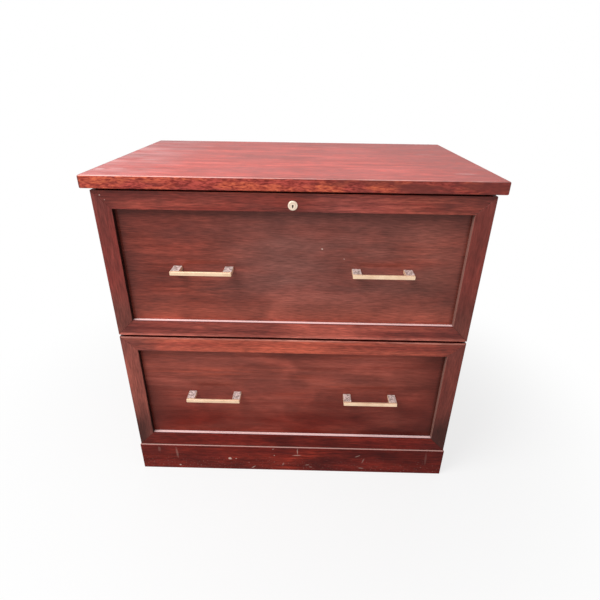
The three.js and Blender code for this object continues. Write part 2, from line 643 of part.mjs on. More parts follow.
function makeLock(drawer) {
  const lock = new THREE.Group();
  lock.position.z = lockZ;
  drawer.add(lock);

  const caseFront = FRONT_THICK + GLUE_GAP;
  const wellFront = boltFront - LOCK_PLAY;
  const wellBack = boltFront + BOLT_THICK + LOCK_PLAY;
  const boltHalf = BOLT_WIDTH / 2;
  const boltLow = -LOCK_CASE_BELOW + LOCK_CASE_WALL + LOCK_PLAY;
  const barrelEnd = wellFront - LOCK_CASE_WALL;
  const bore = LOCK_PLUG_RADIUS + LOCK_PLAY;

  const barrel = turned([
    [bore, -LOCK_FACE_THICK],
    [LOCK_FACE_RADIUS - LOCK_FACE_RIM, -LOCK_FACE_THICK],
    [LOCK_FACE_RADIUS - LOCK_SHOULDER[0], -LOCK_FACE_THICK + LOCK_SHOULDER[1]],
    [LOCK_FACE_RADIUS, -LOCK_FACE_THICK + LOCK_FACE_RIM - LOCK_SHOULDER[0]],
    [LOCK_FACE_RADIUS, -GLUE_GAP],
    [LOCK_BARREL_RADIUS, -GLUE_GAP],
    [LOCK_BARREL_RADIUS, barrelEnd],
    [bore, barrelEnd],
    [bore, -LOCK_FACE_THICK],
  ], ROUND_SIDES);
  piece(lock, 'lock_barrel', barrel, satinNickel);

  const caseHalf = LOCK_CASE_WIDTH / 2;
  const well = block(
    [-boltHalf - LOCK_PLAY, boltHalf + LOCK_PLAY],
    [wellFront, wellBack],
    [boltLow - LOCK_PLAY, LOCK_CASE_ABOVE + CUT_PAST],
  );
  const lockCase = cut(
    block([-caseHalf, caseHalf], [caseFront, wellBack + LOCK_CASE_WALL], [-LOCK_CASE_BELOW, LOCK_CASE_ABOVE]),
    well,
    rodY(LOCK_BARREL_RADIUS + LOCK_PLAY, caseFront - CUT_PAST, barrelEnd + LOCK_PLAY, ROUND_SIDES),
    rodY(bore, caseFront, wellFront + CUT_PAST, ROUND_SIDES),
  );
  piece(lock, 'lock_case', lockCase, zincSteel);

  const plugFace = -LOCK_FACE_THICK - GLUE_GAP;
  const keyhole = [
    rodY(KEYHOLE_RADIUS, plugFace - CUT_PAST, plugFace + KEYHOLE_DEPTH, SMALL_ROUND_SIDES),
    block(
      [-KEYHOLE_WIDTH / 2, KEYHOLE_WIDTH / 2],
      [plugFace - CUT_PAST, plugFace + KEYHOLE_DEPTH],
      [-KEYHOLE_DROP, 0],
    ),
  ];
  const tailEnd = wellFront - LOCK_PLAY;
  const crank = rodY(CRANK_RADIUS, tailEnd - CUT_PAST, wellBack - LOCK_PLAY, SMALL_ROUND_SIDES)
    .translate(0, 0, -CRANK_OFFSET);
  const plugBody = cut(rodY(LOCK_PLUG_RADIUS, plugFace, tailEnd, ROUND_SIDES), ...keyhole);
  piece(lock, 'lock_plug', join(plugBody, crank), satinNickel);

  const slotHalf = CRANK_OFFSET + CRANK_RADIUS + LOCK_PLAY;
  const slotRise = CRANK_RADIUS + CRANK_BACKLASH;
  const bolt = cut(
    block([-boltHalf, boltHalf], [boltFront, boltFront + BOLT_THICK], [boltLow, LOCK_CASE_ABOVE - LOCK_PLAY]),
    block(
      [-slotHalf, slotHalf],
      [boltFront - CUT_PAST, boltFront + BOLT_THICK + CUT_PAST],
      [-CRANK_OFFSET - slotRise, -CRANK_OFFSET + slotRise],
    ),
  );
  piece(lock, 'lock_bolt', bolt, zincSteel);
}

// A drawer: everything that slides out together
function makeDrawer(cabinet, level, frontZ, hasLock) {
  const drawer = new THREE.Group();
  drawer.position.z = frontZ;
  cabinet.add(drawer);
  makeFront(drawer, level, hasLock);
  makeBox(drawer, level);
  makePulls(drawer, level);
  if (hasLock) {
    makeLock(drawer);
  }
}

// The cabinet, with the middle of its plan over the origin
const cabinet = new THREE.Group();
const foremost = Math.min(PANEL_RECESS - GLUE_GAP - PULL_PROJECTION, -TOP_FRONT_OVERHANG);
cabinet.position.y = -(foremost + rear) / 2;
makeCarcass(cabinet);
makePlinth(cabinet);
makeFeet(cabinet);
makeStrike(cabinet);
for (const [level, frontZ] of [['lower', lowerFrontZ], ['upper', upperFrontZ]]) {
  makeRunners(cabinet, level, frontZ);
  makeDrawer(cabinet, level, frontZ, level === 'upper');
}

export default cabinet;
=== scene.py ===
# %% [markdown]
# # A two-drawer lateral filing cabinet
# The cabinet is a stained wooden box with a thick top, a plinth, and two framed drawers.
# Its boards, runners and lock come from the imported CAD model, at their true size.
# Blender could model all of that again, but the CAD shapes are right already.
# So this lesson keeps them and adds what CAD lacks: soft edges, finishes, wear and small hardware.

import json
import math

import bmesh
import bpy
from mathutils import Matrix, Vector

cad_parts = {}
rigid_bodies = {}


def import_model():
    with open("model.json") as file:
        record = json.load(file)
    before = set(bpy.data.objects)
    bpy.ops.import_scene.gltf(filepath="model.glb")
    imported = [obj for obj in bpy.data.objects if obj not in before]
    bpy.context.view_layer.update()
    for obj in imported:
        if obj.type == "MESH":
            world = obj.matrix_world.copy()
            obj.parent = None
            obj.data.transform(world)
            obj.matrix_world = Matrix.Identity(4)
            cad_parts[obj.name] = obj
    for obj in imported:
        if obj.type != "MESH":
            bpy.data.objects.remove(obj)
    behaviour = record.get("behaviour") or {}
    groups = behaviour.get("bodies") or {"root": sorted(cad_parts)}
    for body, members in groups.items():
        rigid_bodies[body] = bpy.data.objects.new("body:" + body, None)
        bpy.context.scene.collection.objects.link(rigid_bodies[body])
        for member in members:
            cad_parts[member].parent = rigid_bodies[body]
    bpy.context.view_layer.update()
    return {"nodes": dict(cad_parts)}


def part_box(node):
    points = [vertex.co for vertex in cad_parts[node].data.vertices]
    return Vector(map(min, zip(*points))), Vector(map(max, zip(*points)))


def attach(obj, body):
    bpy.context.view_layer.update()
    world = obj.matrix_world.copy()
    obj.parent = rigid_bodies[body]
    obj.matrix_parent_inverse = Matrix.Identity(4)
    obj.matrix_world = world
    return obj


for leftover in list(bpy.data.objects):
    bpy.data.objects.remove(leftover)

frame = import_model()
nodes = frame["nodes"]
scene = bpy.context.scene
scene.view_settings.view_transform = "Standard"

# %% [markdown]
# ## The camera
# The picture was taken from about head height, a step in front of the cabinet and a little
# right of its middle, looking down. A camera could be aimed with a Track To constraint.
# Plain angles are used here, because the real one also leans a little to the side.

# %% Camera
MM = 0.001
PICTURE_WIDTH = 600
FOCAL_LENGTH_PIXELS = 434.97
SENSOR_WIDTH = 36.0
CAMERA_PLACE = Vector((27.07, -1068.15, 925.19)) * MM
CAMERA_TURN = 0.01292
CAMERA_DIP = 0.46951
CAMERA_LEAN = 0.01366

camera_data = bpy.data.cameras.new("camera")
camera_data.sensor_width = SENSOR_WIDTH
camera_data.lens = SENSOR_WIDTH * FOCAL_LENGTH_PIXELS / PICTURE_WIDTH
camera_data.clip_start = 0.01
camera_data.clip_end = 100.0
camera = bpy.data.objects.new("camera", camera_data)
scene.collection.objects.link(camera)
camera.matrix_world = (
    Matrix.Translation(CAMERA_PLACE)
    @ Matrix.Rotation(CAMERA_TURN, 4, "Z")
    @ Matrix.Rotation(math.pi / 2 - CAMERA_DIP, 4, "X")
    @ Matrix.Rotation(CAMERA_LEAN, 4, "Z")
)
scene.camera = camera
print("camera lens", round(camera_data.lens, 2), "mm")

# %% [markdown]
# ## Helpers for shader nodes
# Every finish here is a small graph of nodes. Adding each node by hand takes several lines,
# so one helper makes a node, sets its options, and fills or links its inputs by name.
# Short ones for masks follow: stretched to a range, multiplied, added, or the larger of two.

# %% Node helpers
def fill(tree, node, inputs):
    """Fills a node's inputs by name: a socket is linked, anything else is set as the value."""
    for name, value in inputs.items():
        if isinstance(value, bpy.types.NodeSocket):
            tree.links.new(value, node.inputs[name])
        else:
            node.inputs[name].default_value = value


def add_node(tree, kind, inputs=None, **options):
    """Makes a node, sets its options and fills its inputs."""
    made = tree.nodes.new(kind)
    for name, value in options.items():
        setattr(made, name, value)
    fill(tree, made, inputs or {})
    return made


def new_finish(name):
    """An empty material, with its node tree and its main shader."""
    finish = bpy.data.materials.new(name)
    finish.use_nodes = True
    return finish, finish.node_tree, finish.node_tree.nodes["Principled BSDF"]


def between(tree, value, low, high, to_low=0.0, to_high=1.0):
    """Value from low to high, stretched to a new range and held at its ends."""
    ranged = add_node(tree, "ShaderNodeMapRange", {
        "Value": value, "From Min": low, "From Max": high, "To Min": to_low, "To Max": to_high,
    })
    return ranged.outputs[0]


def times(tree, first, second):
    """Two values or masks multiplied."""
    return add_node(tree, "ShaderNodeMath", {0: first, 1: second}, operation="MULTIPLY").outputs[0]


def plus(tree, first, second):
    """Two values or masks added."""
    return add_node(tree, "ShaderNodeMath", {0: first, 1: second}, operation="ADD").outputs[0]


def more_of(tree, first, second):
    """The larger of two masks."""
    return add_node(tree, "ShaderNodeMath", {0: first, 1: second}, operation="MAXIMUM").outputs[0]


def place_on_part(tree):
    """Place in metres in the part's own frame, so that a finish moves with its part."""
    return add_node(tree, "ShaderNodeTexCoord").outputs["Object"]


print("node helpers ready")

# %% [markdown]
# ## Studio: light, floor and white surroundings
# The light is soft and comes from above and from the left, so the right-hand inner edges of
# the drawer frames are pale and the left-hand ones dark. One large area lamp gives that, and an
# even world fills the shadows. The white surroundings are only for the camera and for
# reflections: the world and the floor read which kind of ray looks at them.

# %% World and lamp
WORLD_LIGHT = 0.45
KEY_PLACE = Vector((-0.85, -0.85, 1.95))
KEY_AIM = Vector((0.0, -0.1, 0.5))
KEY_SIZE = 1.2
KEY_POWER = 36.0
WHITE = (1.0, 1.0, 1.0, 1.0)


def seen_directly(tree):
    """One for rays that look at the surroundings: from the camera, in gloss, or through glass."""
    path = add_node(tree, "ShaderNodeLightPath").outputs
    straight = more_of(tree, path["Is Camera Ray"], path["Is Glossy Ray"])
    return more_of(tree, straight, path["Is Transmission Ray"])


world = bpy.data.worlds.new("white_studio")
world.use_nodes = True
scene.world = world
sky_tree = world.node_tree
fill(sky_tree, sky_tree.nodes["Background"], {
    "Color": WHITE, "Strength": between(sky_tree, seen_directly(sky_tree), 0.0, 1.0, WORLD_LIGHT, 1.0),
})

lamp_data = bpy.data.lights.new("key_lamp", "AREA")
lamp_data.shape = "DISK"
lamp_data.size = KEY_SIZE
lamp_data.energy = KEY_POWER
lamp = bpy.data.objects.new("key_lamp", lamp_data)
scene.collection.objects.link(lamp)
lamp.location = KEY_PLACE
lamp.rotation_mode = "QUATERNION"
lamp.rotation_quaternion = (KEY_AIM - KEY_PLACE).to_track_quat("-Z", "Y")
print("world light", WORLD_LIGHT, "lamp", KEY_POWER, "W")

# %% Floor
FLOOR_REACH = 30.0
FLOOR_COLOUR = (0.80, 0.80, 0.80, 1.0)
SHADOW_NEAR = 0.45
SHADOW_FAR = 1.1
SHADOW_SHOWN = 0.24

floor_mesh = bpy.data.meshes.new("floor")
floor_mesh.from_pydata(
    [(x * FLOOR_REACH, y * FLOOR_REACH, 0.0) for x, y in ((-1, -1), (1, -1), (1, 1), (-1, 1))],
    [], [(0, 1, 2, 3)],
)
floor = bpy.data.objects.new("floor", floor_mesh)
scene.collection.objects.link(floor)
floor_finish, floor_tree, floor_shader = new_finish("pale_floor")
fill(floor_tree, floor_shader, {
    "Base Color": FLOOR_COLOUR, "Roughness": 0.9, "Specular IOR Level": 0.1,
})
floor_white = add_node(floor_tree, "ShaderNodeEmission", {"Color": WHITE, "Strength": 1.0})
from_middle = add_node(floor_tree, "ShaderNodeVectorMath", {
    0: place_on_part(floor_tree),
}, operation="LENGTH")
whitening = add_node(floor_tree, "ShaderNodeMapRange", {
    "Value": from_middle.outputs["Value"], "From Min": SHADOW_NEAR, "From Max": SHADOW_FAR,
    "To Min": 1.0 - SHADOW_SHOWN, "To Max": 1.0,
}, interpolation_type="SMOOTHSTEP")
floor_mix = add_node(floor_tree, "ShaderNodeMixShader", {
    0: times(floor_tree, seen_directly(floor_tree), whitening.outputs[0]),
    1: floor_shader.outputs[0], 2: floor_white.outputs[0],
})
fill(floor_tree, floor_tree.nodes["Material Output"], {"Surface": floor_mix.outputs[0]})
floor_mesh.materials.append(floor_finish)
print("floor reaches", FLOOR_REACH, "m each way")

# %% [markdown]
# ## Soft edges on the boards
# No real board has a knife edge: sanding and lacquer leave a small round that catches the
# light as a thin line. The CAD meshes are sharp and made of loose triangles. They must not be
# edited, so a stack of modifiers does the work: merge the triangles, join flat ones into whole
# faces, then round every sharp edge.

# %% Edge-softening modifiers
MERGE_REACH = 0.02 * MM
FLAT_ANGLE = math.radians(1.0)
SHARP_ANGLE = math.radians(35.0)
EDGE_SEGMENTS = 2


def clean_shading_group():
    """Geometry nodes that merge loose triangles, drop stored normals and smooth shallow edges."""
    group = bpy.data.node_groups.new("clean_shading", "GeometryNodeTree")
    group.interface.new_socket("Geometry", in_out="INPUT", socket_type="NodeSocketGeometry")
    group.interface.new_socket("Geometry", in_out="OUTPUT", socket_type="NodeSocketGeometry")
    start = add_node(group, "NodeGroupInput")
    merged = add_node(group, "GeometryNodeMergeByDistance", {
        "Geometry": start.outputs[0], "Distance": MERGE_REACH,
    })
    plain = add_node(group, "GeometryNodeRemoveAttribute", {
        "Geometry": merged.outputs[0], "Name": "custom_normal",
    })
    smooth = add_node(group, "GeometryNodeSetShadeSmooth", {
        "Geometry": plain.outputs[0], "Shade Smooth": True,
    })
    angle = add_node(group, "GeometryNodeInputMeshEdgeAngle")
    sharp = add_node(group, "ShaderNodeMath", {
        0: angle.outputs["Unsigned Angle"], 1: SHARP_ANGLE,
    }, operation="GREATER_THAN")
    creased = add_node(group, "GeometryNodeSetShadeSmooth", {
        "Geometry": smooth.outputs[0], "Selection": sharp.outputs[0], "Shade Smooth": False,
    }, domain="EDGE")
    end = add_node(group, "NodeGroupOutput")
    group.links.new(creased.outputs[0], end.inputs[0])
    return group


clean_shading = clean_shading_group()


def soften(name, width):
    """Rounds the sharp edges of one CAD node, without touching its mesh."""
    board = nodes[name]
    clean = board.modifiers.new("clean", "NODES")
    clean.node_group = clean_shading
    flat = board.modifiers.new("whole_faces", "DECIMATE")
    flat.decimate_type = "DISSOLVE"
    flat.angle_limit = FLAT_ANGLE
    round_edge = board.modifiers.new("soft_edge", "BEVEL")
    round_edge.width = width
    round_edge.segments = EDGE_SEGMENTS
    round_edge.limit_method = "ANGLE"
    round_edge.angle_limit = SHARP_ANGLE
    shading = board.modifiers.new("flat_faces", "WEIGHTED_NORMAL")
    shading.weight = 100
    shading.keep_sharp = False


WOOD_EDGE = 0.8 * MM
BOX_EDGE = 0.6 * MM
METAL_EDGE = 0.25 * MM


def made_of(slot):
    """The CAD nodes of one material slot."""
    return [name for name in nodes if nodes[name].data.materials[0].name == slot]


STAINED_BOARDS = made_of("stained_wood")
BOX_BOARDS = made_of("box_wood")
STEEL_PARTS = made_of("zinc_steel")
NICKEL_PARTS = made_of("satin_nickel")
LEVELLERS = made_of("black_nylon")

for boards, width in (
    (STAINED_BOARDS, WOOD_EDGE), (BOX_BOARDS, BOX_EDGE), (STEEL_PARTS, METAL_EDGE),
    (NICKEL_PARTS, METAL_EDGE), (LEVELLERS, METAL_EDGE),
):
    for name in boards:
        soften(name, width)
print(len(STAINED_BOARDS), "stained boards,", len(BOX_BOARDS), "box boards,",
      len(STEEL_PARTS), "steel parts,", len(NICKEL_PARTS), "nickel parts,", len(LEVELLERS), "levellers")

# %% [markdown]
# ## Grain
# Wood grain is long in one direction and fine in the other two. A photograph of wood could be
# wrapped round each board, but it would stretch and repeat. Solid noise is used instead: it fills
# space, so the streaks run through a board and come out right on its faces, edges and ends.
# The coordinates are turned so that X follows the grain, and moved on for each board, so that no
# two boards are alike.

# %% Grain helpers
GRAIN_AXES = {"x": ("X", "Z", "Y"), "y": ("Y", "Z", "X"), "z": ("Z", "X", "Y")}
BOARD_STEP = Vector((3.7, 1.9, 2.3))


def grain_space(tree, grain, board):
    """Place in the board in metres, with X along the grain."""
    apart = add_node(tree, "ShaderNodeSeparateXYZ", {"Vector": place_on_part(tree)})
    along, across, deep = (apart.outputs[axis] for axis in GRAIN_AXES[grain])
    turned = add_node(tree, "ShaderNodeCombineXYZ", {"X": along, "Y": across, "Z": deep})
    moved = add_node(tree, "ShaderNodeVectorMath", {
        0: turned.outputs[0], 1: BOARD_STEP * board,
    }, operation="ADD")
    return moved.outputs[0]


def streaks(tree, space, along, across, detail=3.0, distortion=0.0):
    """Noise with so many changes per metre along and across the grain."""
    stretched = add_node(tree, "ShaderNodeVectorMath", {
        0: space, 1: (along, across, across),
    }, operation="MULTIPLY")
    noise = add_node(tree, "ShaderNodeTexNoise", {
        "Vector": stretched.outputs[0], "Scale": 1.0, "Detail": detail, "Distortion": distortion,
    })
    return noise.outputs["Fac"]


def speckled(tree, scale, detail=2.0):
    """Noise with so many changes per metre, alike every way."""
    noise = add_node(tree, "ShaderNodeTexNoise", {
        "Vector": place_on_part(tree), "Scale": scale, "Detail": detail,
    })
    return noise.outputs["Fac"]


def bumpy(tree, heights, strength, depth):
    """A fine relief that the light sees, without changing the shape."""
    return add_node(tree, "ShaderNodeBump", {
        "Height": heights, "Strength": strength, "Distance": depth,
    }).outputs[0]


def mixed(tree, amount, first, second, blend="MIX"):
    """Two colours mixed by a mask."""
    mix = add_node(tree, "ShaderNodeMix", data_type="RGBA", blend_type=blend)
    for socket, value in ((mix.inputs[0], amount), (mix.inputs[6], first), (mix.inputs[7], second)):
        if isinstance(value, bpy.types.NodeSocket):
            tree.links.new(value, socket)
        elif isinstance(value, float):
            socket.default_value = value
        else:
            socket.default_value = (*value, 1.0)
    return mix.outputs[2]


def shaded(tree, value, *stops):
    """A colour ramp through (place, colour) stops."""
    ramp = add_node(tree, "ShaderNodeValToRGB", {"Fac": value})
    points = ramp.color_ramp.elements
    while len(points) < len(stops):
        points.new(0.5)
    for point, (place, colour) in zip(points, stops):
        point.position = place
        point.color = (*colour, 1.0)
    return ramp.outputs["Color"]


print("grain helpers ready")

# %% [markdown]
# ## Red-brown stain under lacquer
# The cabinet is stained a deep red-brown and lacquered to a half gloss. The stain sits darker in
# open grain and lighter on hard streaks. One colour ramp over one noise would be quicker, but it
# looks printed. So the colour is built in layers, as a finisher builds it: broad streaks, brown
# clouds, bright flames, bands where the stain lies thick or thin, fine fibres, uneven patches, and
# the dark ticks of pores. Over these, some bands and the faces turned one way carry painted light
# and shade. A coat on the shader is the lacquer.

# %% Masks for the stain
WORN_EDGE = 1.0 * MM


def facing(tree, axis):
    """How far the surface faces along X, Y or Z."""
    normal = add_node(tree, "ShaderNodeNewGeometry").outputs["Normal"]
    return add_node(tree, "ShaderNodeSeparateXYZ", {"Vector": normal}).outputs[axis]


def facing_either_way(tree, axis):
    """How far the surface faces along X, Y or Z, forwards or backwards."""
    return add_node(tree, "ShaderNodeMath", {0: facing(tree, axis)}, operation="ABSOLUTE").outputs[0]


def reach(tree, axis, start, end):
    """A mask that comes in along X, Y or Z between two places, given in mm."""
    apart = add_node(tree, "ShaderNodeSeparateXYZ", {"Vector": place_on_part(tree)})
    return between(tree, apart.outputs[axis], start * MM, end * MM)


def worn_edges(tree, space):
    """A mask of the outer edges, broken up, where the stain has rubbed thin."""
    rounded = add_node(tree, "ShaderNodeBevel", {"Radius": WORN_EDGE}, samples=6)
    flat = add_node(tree, "ShaderNodeNewGeometry")
    alike = add_node(tree, "ShaderNodeVectorMath", {
        0: rounded.outputs[0], 1: flat.outputs["True Normal"],
    }, operation="DOT_PRODUCT")
    edge = between(tree, alike.outputs["Value"], 0.97, 0.85)
    broken = between(tree, streaks(tree, space, 25.0, 60.0), 0.42, 0.62)
    return times(tree, edge, broken)


print("edges are worn", WORN_EDGE / MM, "mm wide")

# %% Layers of the stain, and painted light and shade
# Streaks are changes per metre along and across the grain, then detail and distortion
FIGURE_DETAIL, FIGURE_SWIRL = 5.0, 0.6
CLOUD_STREAKS = (6.0, 24.0, 3.0, 0.6)
GLOW_STREAKS = (4.0, 18.0, 2.0, 0.4)
FLAME_STREAKS = (12.0, 170.0, 3.0)
BAND_STREAKS = (5.0, 16.0, 3.0)
PATCH_STREAKS = (7.0, 15.0, 2.0, 0.8)
THINNEST_BAND = 0.25
SIDE_STARTS, SIDE_FULL = 0.75, 0.92


def figured_colour(tree, space, tone):
    """Broad streaks, with brown clouds and bright flames over them."""
    figure = streaks(tree, space, *tone["figure"], FIGURE_DETAIL, FIGURE_SWIRL)
    colour = shaded(tree, figure, (0.32, tone["dark"]), (0.50, tone["middle"]), (0.70, tone["light"]))
    clouds = between(tree, streaks(tree, space, *CLOUD_STREAKS), 0.40, 0.64, 0.0, tone["clouding"])
    colour = mixed(tree, clouds, colour, tone["cloud"])
    glow = between(tree, streaks(tree, space, *GLOW_STREAKS), 0.50, 0.72)
    flames = times(tree, between(tree, streaks(tree, space, *FLAME_STREAKS), 0.40, 0.66), glow)
    return mixed(tree, times(tree, flames, tone["flames"]), colour, tone["flame"])


def with_bands(tree, space, tone, colour):
    """Broad bands in uneven clouds: some where the stain lies thick or thin, some of painted light and
    shade.
    """
    for axis, start, end, amount, tint, *limits in tone["bands"]:
        clouds = streaks(tree, space, *BAND_STREAKS)
        uneven = between(tree, clouds, 0.30, 0.62, THINNEST_BAND * amount, amount)
        band = times(tree, reach(tree, axis, start, end), uneven)
        for limit in limits:
            band = times(tree, band, reach(tree, *limit))
        colour = mixed(tree, band, colour, tint)
    return colour


def with_fibres(tree, space, tone, colour, fibre):
    """Fine fibres and uneven patches, which only make the colour lighter or darker."""
    fibre_shade = between(tree, fibre, 0.32, 0.68, 1.0 - tone["fibre"], 1.0 + tone["fibre"])
    patch = streaks(tree, space, *PATCH_STREAKS)
    patch_shade = between(tree, patch, 0.34, 0.66, 1.0 - tone["patches"], 1.0 + tone["patches"])
    shade = times(tree, fibre_shade, patch_shade)
    shade_colour = add_node(tree, "ShaderNodeCombineXYZ", {"X": shade, "Y": shade, "Z": shade})
    return mixed(tree, 1.0, colour, shade_colour.outputs[0], "MULTIPLY")


def with_painted_light_and_shade(tree, tone, colour):
    """Painted light and shade on faces that look one way along an axis."""
    for axis, way, amount, tint, *limits in tone["sides"]:
        side = between(tree, facing(tree, axis), way * SIDE_STARTS, way * SIDE_FULL, 0.0, amount)
        for limit in limits:
            side = times(tree, side, reach(tree, *limit))
        colour = mixed(tree, side, colour, tint)
    return colour


print("a band is nowhere thinner than", THINNEST_BAND, "of its amount")

# %% Stain finish
FIBRE_ALONG, FIBRE_DETAIL, FIBRE_SWIRL = 48.0, 3.0, 0.3
PORE_STREAKS = (45.0, 1100.0, 2.0)
GRAIN_RELIEF = 0.12 * MM


def stain_finish(name, grain, board, tone, marks=None):
    """The stained and lacquered finish of one board."""
    finish, tree, shader = new_finish(name)
    space = grain_space(tree, grain, board)
    fibre = streaks(tree, space, FIBRE_ALONG, tone["fibre_lines"], FIBRE_DETAIL, FIBRE_SWIRL)
    pores = between(tree, streaks(tree, space, *PORE_STREAKS), 0.58, 0.68)

    colour = figured_colour(tree, space, tone)
    colour = with_bands(tree, space, tone, colour)
    colour = with_fibres(tree, space, tone, colour, fibre)
    colour = mixed(tree, times(tree, pores, tone["pores"]), colour, tone["pore"])
    wear = times(tree, worn_edges(tree, space), tone["wear"])
    colour = mixed(tree, wear, colour, tone["worn"])
    colour = with_painted_light_and_shade(tree, tone, colour)
    roughness = between(tree, fibre, 0.3, 0.7, tone["roughness"] - 0.05, tone["roughness"] + 0.07)
    if marks:
        colour, roughness = marks(tree, space, colour, roughness)

    heights = add_node(tree, "ShaderNodeMath", {0: fibre, 1: pores}, operation="SUBTRACT")
    fill(tree, shader, {
        "Base Color": colour, "Roughness": roughness, "Specular IOR Level": tone["shine"],
        "Normal": bumpy(tree, heights.outputs[0], 0.25, GRAIN_RELIEF),
        "Coat Weight": tone["coat"], "Coat Roughness": tone["coat_roughness"],
    })
    return finish


print("stain finish ready")

# %% [markdown]
# ## A tone for each board
# No two boards take stain alike, and this one was laid on by hand: stiles, rails, panels and top
# each have their own depth of red. One material with random shifts could vary them blindly.
# Here each board has a tone instead, a set of colours and amounts that the finish reads. A band gives
# its axis, where it starts and is full in mm, its amount and colour, and perhaps a limit along
# an axis. A side gives the way a face looks, its amount and colour, and perhaps a limit. Every
# side, and some bands, paint light and shade into the colour.

# %% Tones of the frames
FRAME_TONE = {
    "figure": (2.6, 95.0), "dark": (0.158, 0.021, 0.015), "middle": (0.250, 0.041, 0.028),
    "light": (0.350, 0.069, 0.045), "cloud": (0.122, 0.028, 0.023), "clouding": 0.7,
    "flame": (0.460, 0.100, 0.065), "flames": 0.85, "fibre": 0.34, "fibre_lines": 420.0,
    "pores": 0.4, "pore": (0.050, 0.010, 0.008), "wear": 0.6, "worn": (0.46, 0.21, 0.16),
    "patches": 0.14, "bands": (), "sides": (), "roughness": 0.42, "shine": 0.14, "coat": 0.16,
    "coat_roughness": 0.2,
}
STILE_TONE = dict(
    FRAME_TONE, figure=(3.2, 80.0), dark=(0.176, 0.025, 0.020), middle=(0.232, 0.037, 0.030),
    light=(0.282, 0.048, 0.037), cloud=(0.142, 0.033, 0.027), flame=(0.350, 0.066, 0.047), flames=0.6,
    fibre=0.26, shine=0.10, coat=0.10,
)
RIGHT_STILE_TONE = dict(
    STILE_TONE, dark=(0.170, 0.030, 0.023), middle=(0.212, 0.041, 0.032), light=(0.250, 0.050, 0.038),
    flame=(0.310, 0.062, 0.045), fibre=0.20, pores=0.25,
)
LOWER_RIGHT_STILE_TONE = dict(
    RIGHT_STILE_TONE, dark=(0.172, 0.036, 0.027), middle=(0.208, 0.046, 0.034),
    light=(0.240, 0.054, 0.039), flame=(0.295, 0.065, 0.046), shine=0.08, coat=0.08,
)
LOWER_LEFT_STILE_TONE = dict(
    STILE_TONE, dark=(0.215, 0.054, 0.040), middle=(0.310, 0.079, 0.057), light=(0.370, 0.095, 0.067),
    cloud=(0.180, 0.052, 0.042), flame=(0.400, 0.100, 0.070), shine=0.09, coat=0.09,
)
print("a tone has", len(FRAME_TONE), "settings")

# %% Tones of the panels
PANEL_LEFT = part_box("upper_front_left_stile")[1].x / MM
PANEL_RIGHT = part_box("upper_front_right_stile")[0].x / MM
PANEL_TONE = dict(
    FRAME_TONE, figure=(4.5, 110.0), dark=(0.168, 0.026, 0.015), middle=(0.220, 0.039, 0.025),
    light=(0.290, 0.056, 0.036), cloud=(0.115, 0.028, 0.021), clouding=0.75, flame=(0.430, 0.084, 0.050),
    flames=0.95, fibre=0.28, fibre_lines=520.0, pores=0.25, patches=0.22, shine=0.10, coat=0.22,
    coat_roughness=0.12,
)
# Painted shade on the panels beside the frames' left and right inner walls, with a thin dark line at the
# right.
PANEL_EDGE_SHADE = (
    ("X", PANEL_LEFT + 70.0, PANEL_LEFT, 0.8, (0.110, 0.022, 0.016)),
    ("X", PANEL_RIGHT - 60.0, PANEL_RIGHT - 5.0, 0.6, (0.130, 0.024, 0.017)),
    ("X", PANEL_RIGHT - 9.0, PANEL_RIGHT - 4.0, 0.75, (0.080, 0.020, 0.014)),
)
UPPER_PANEL_TONE = dict(PANEL_TONE, bands=(
    # Painted sheen: a paler, greyer band across the middle of the upper panel.
    ("X", -230.0, -20.0, 0.85, (0.250, 0.088, 0.070)),
    ("X", 120.0, 320.0, 0.7, (0.210, 0.055, 0.036)),
    ("Z", 525.0, 462.0, 0.8, (0.430, 0.088, 0.052)),
    # Painted shade along the top of the panel, under the top rail.
    ("Z", 630.0, 690.0, 0.7, (0.115, 0.024, 0.018)),
    *PANEL_EDGE_SHADE,
))
LOWER_PANEL_TONE = dict(
    PANEL_TONE, dark=(0.255, 0.049, 0.033), middle=(0.320, 0.072, 0.050), light=(0.390, 0.094, 0.065),
    cloud=(0.200, 0.052, 0.039), clouding=0.65, fibre=0.16, pores=0.15, shine=0.06, coat=0.10,
    bands=(
        # Painted shade: the lower panel darkens towards its bottom and its right, the bottom right
        # corner most.
        ("Z", 280.0, 160.0, 1.0, (0.165, 0.015, 0.008)),
        ("X", 170.0, 340.0, 0.6, (0.115, 0.016, 0.010)),
        ("X", 0.0, 210.0, 1.0, (0.082, 0.011, 0.008), ("Z", 235.0, 150.0)),
        *PANEL_EDGE_SHADE,
    ),
)
print("panels show", round(PANEL_RIGHT - PANEL_LEFT), "mm of width")

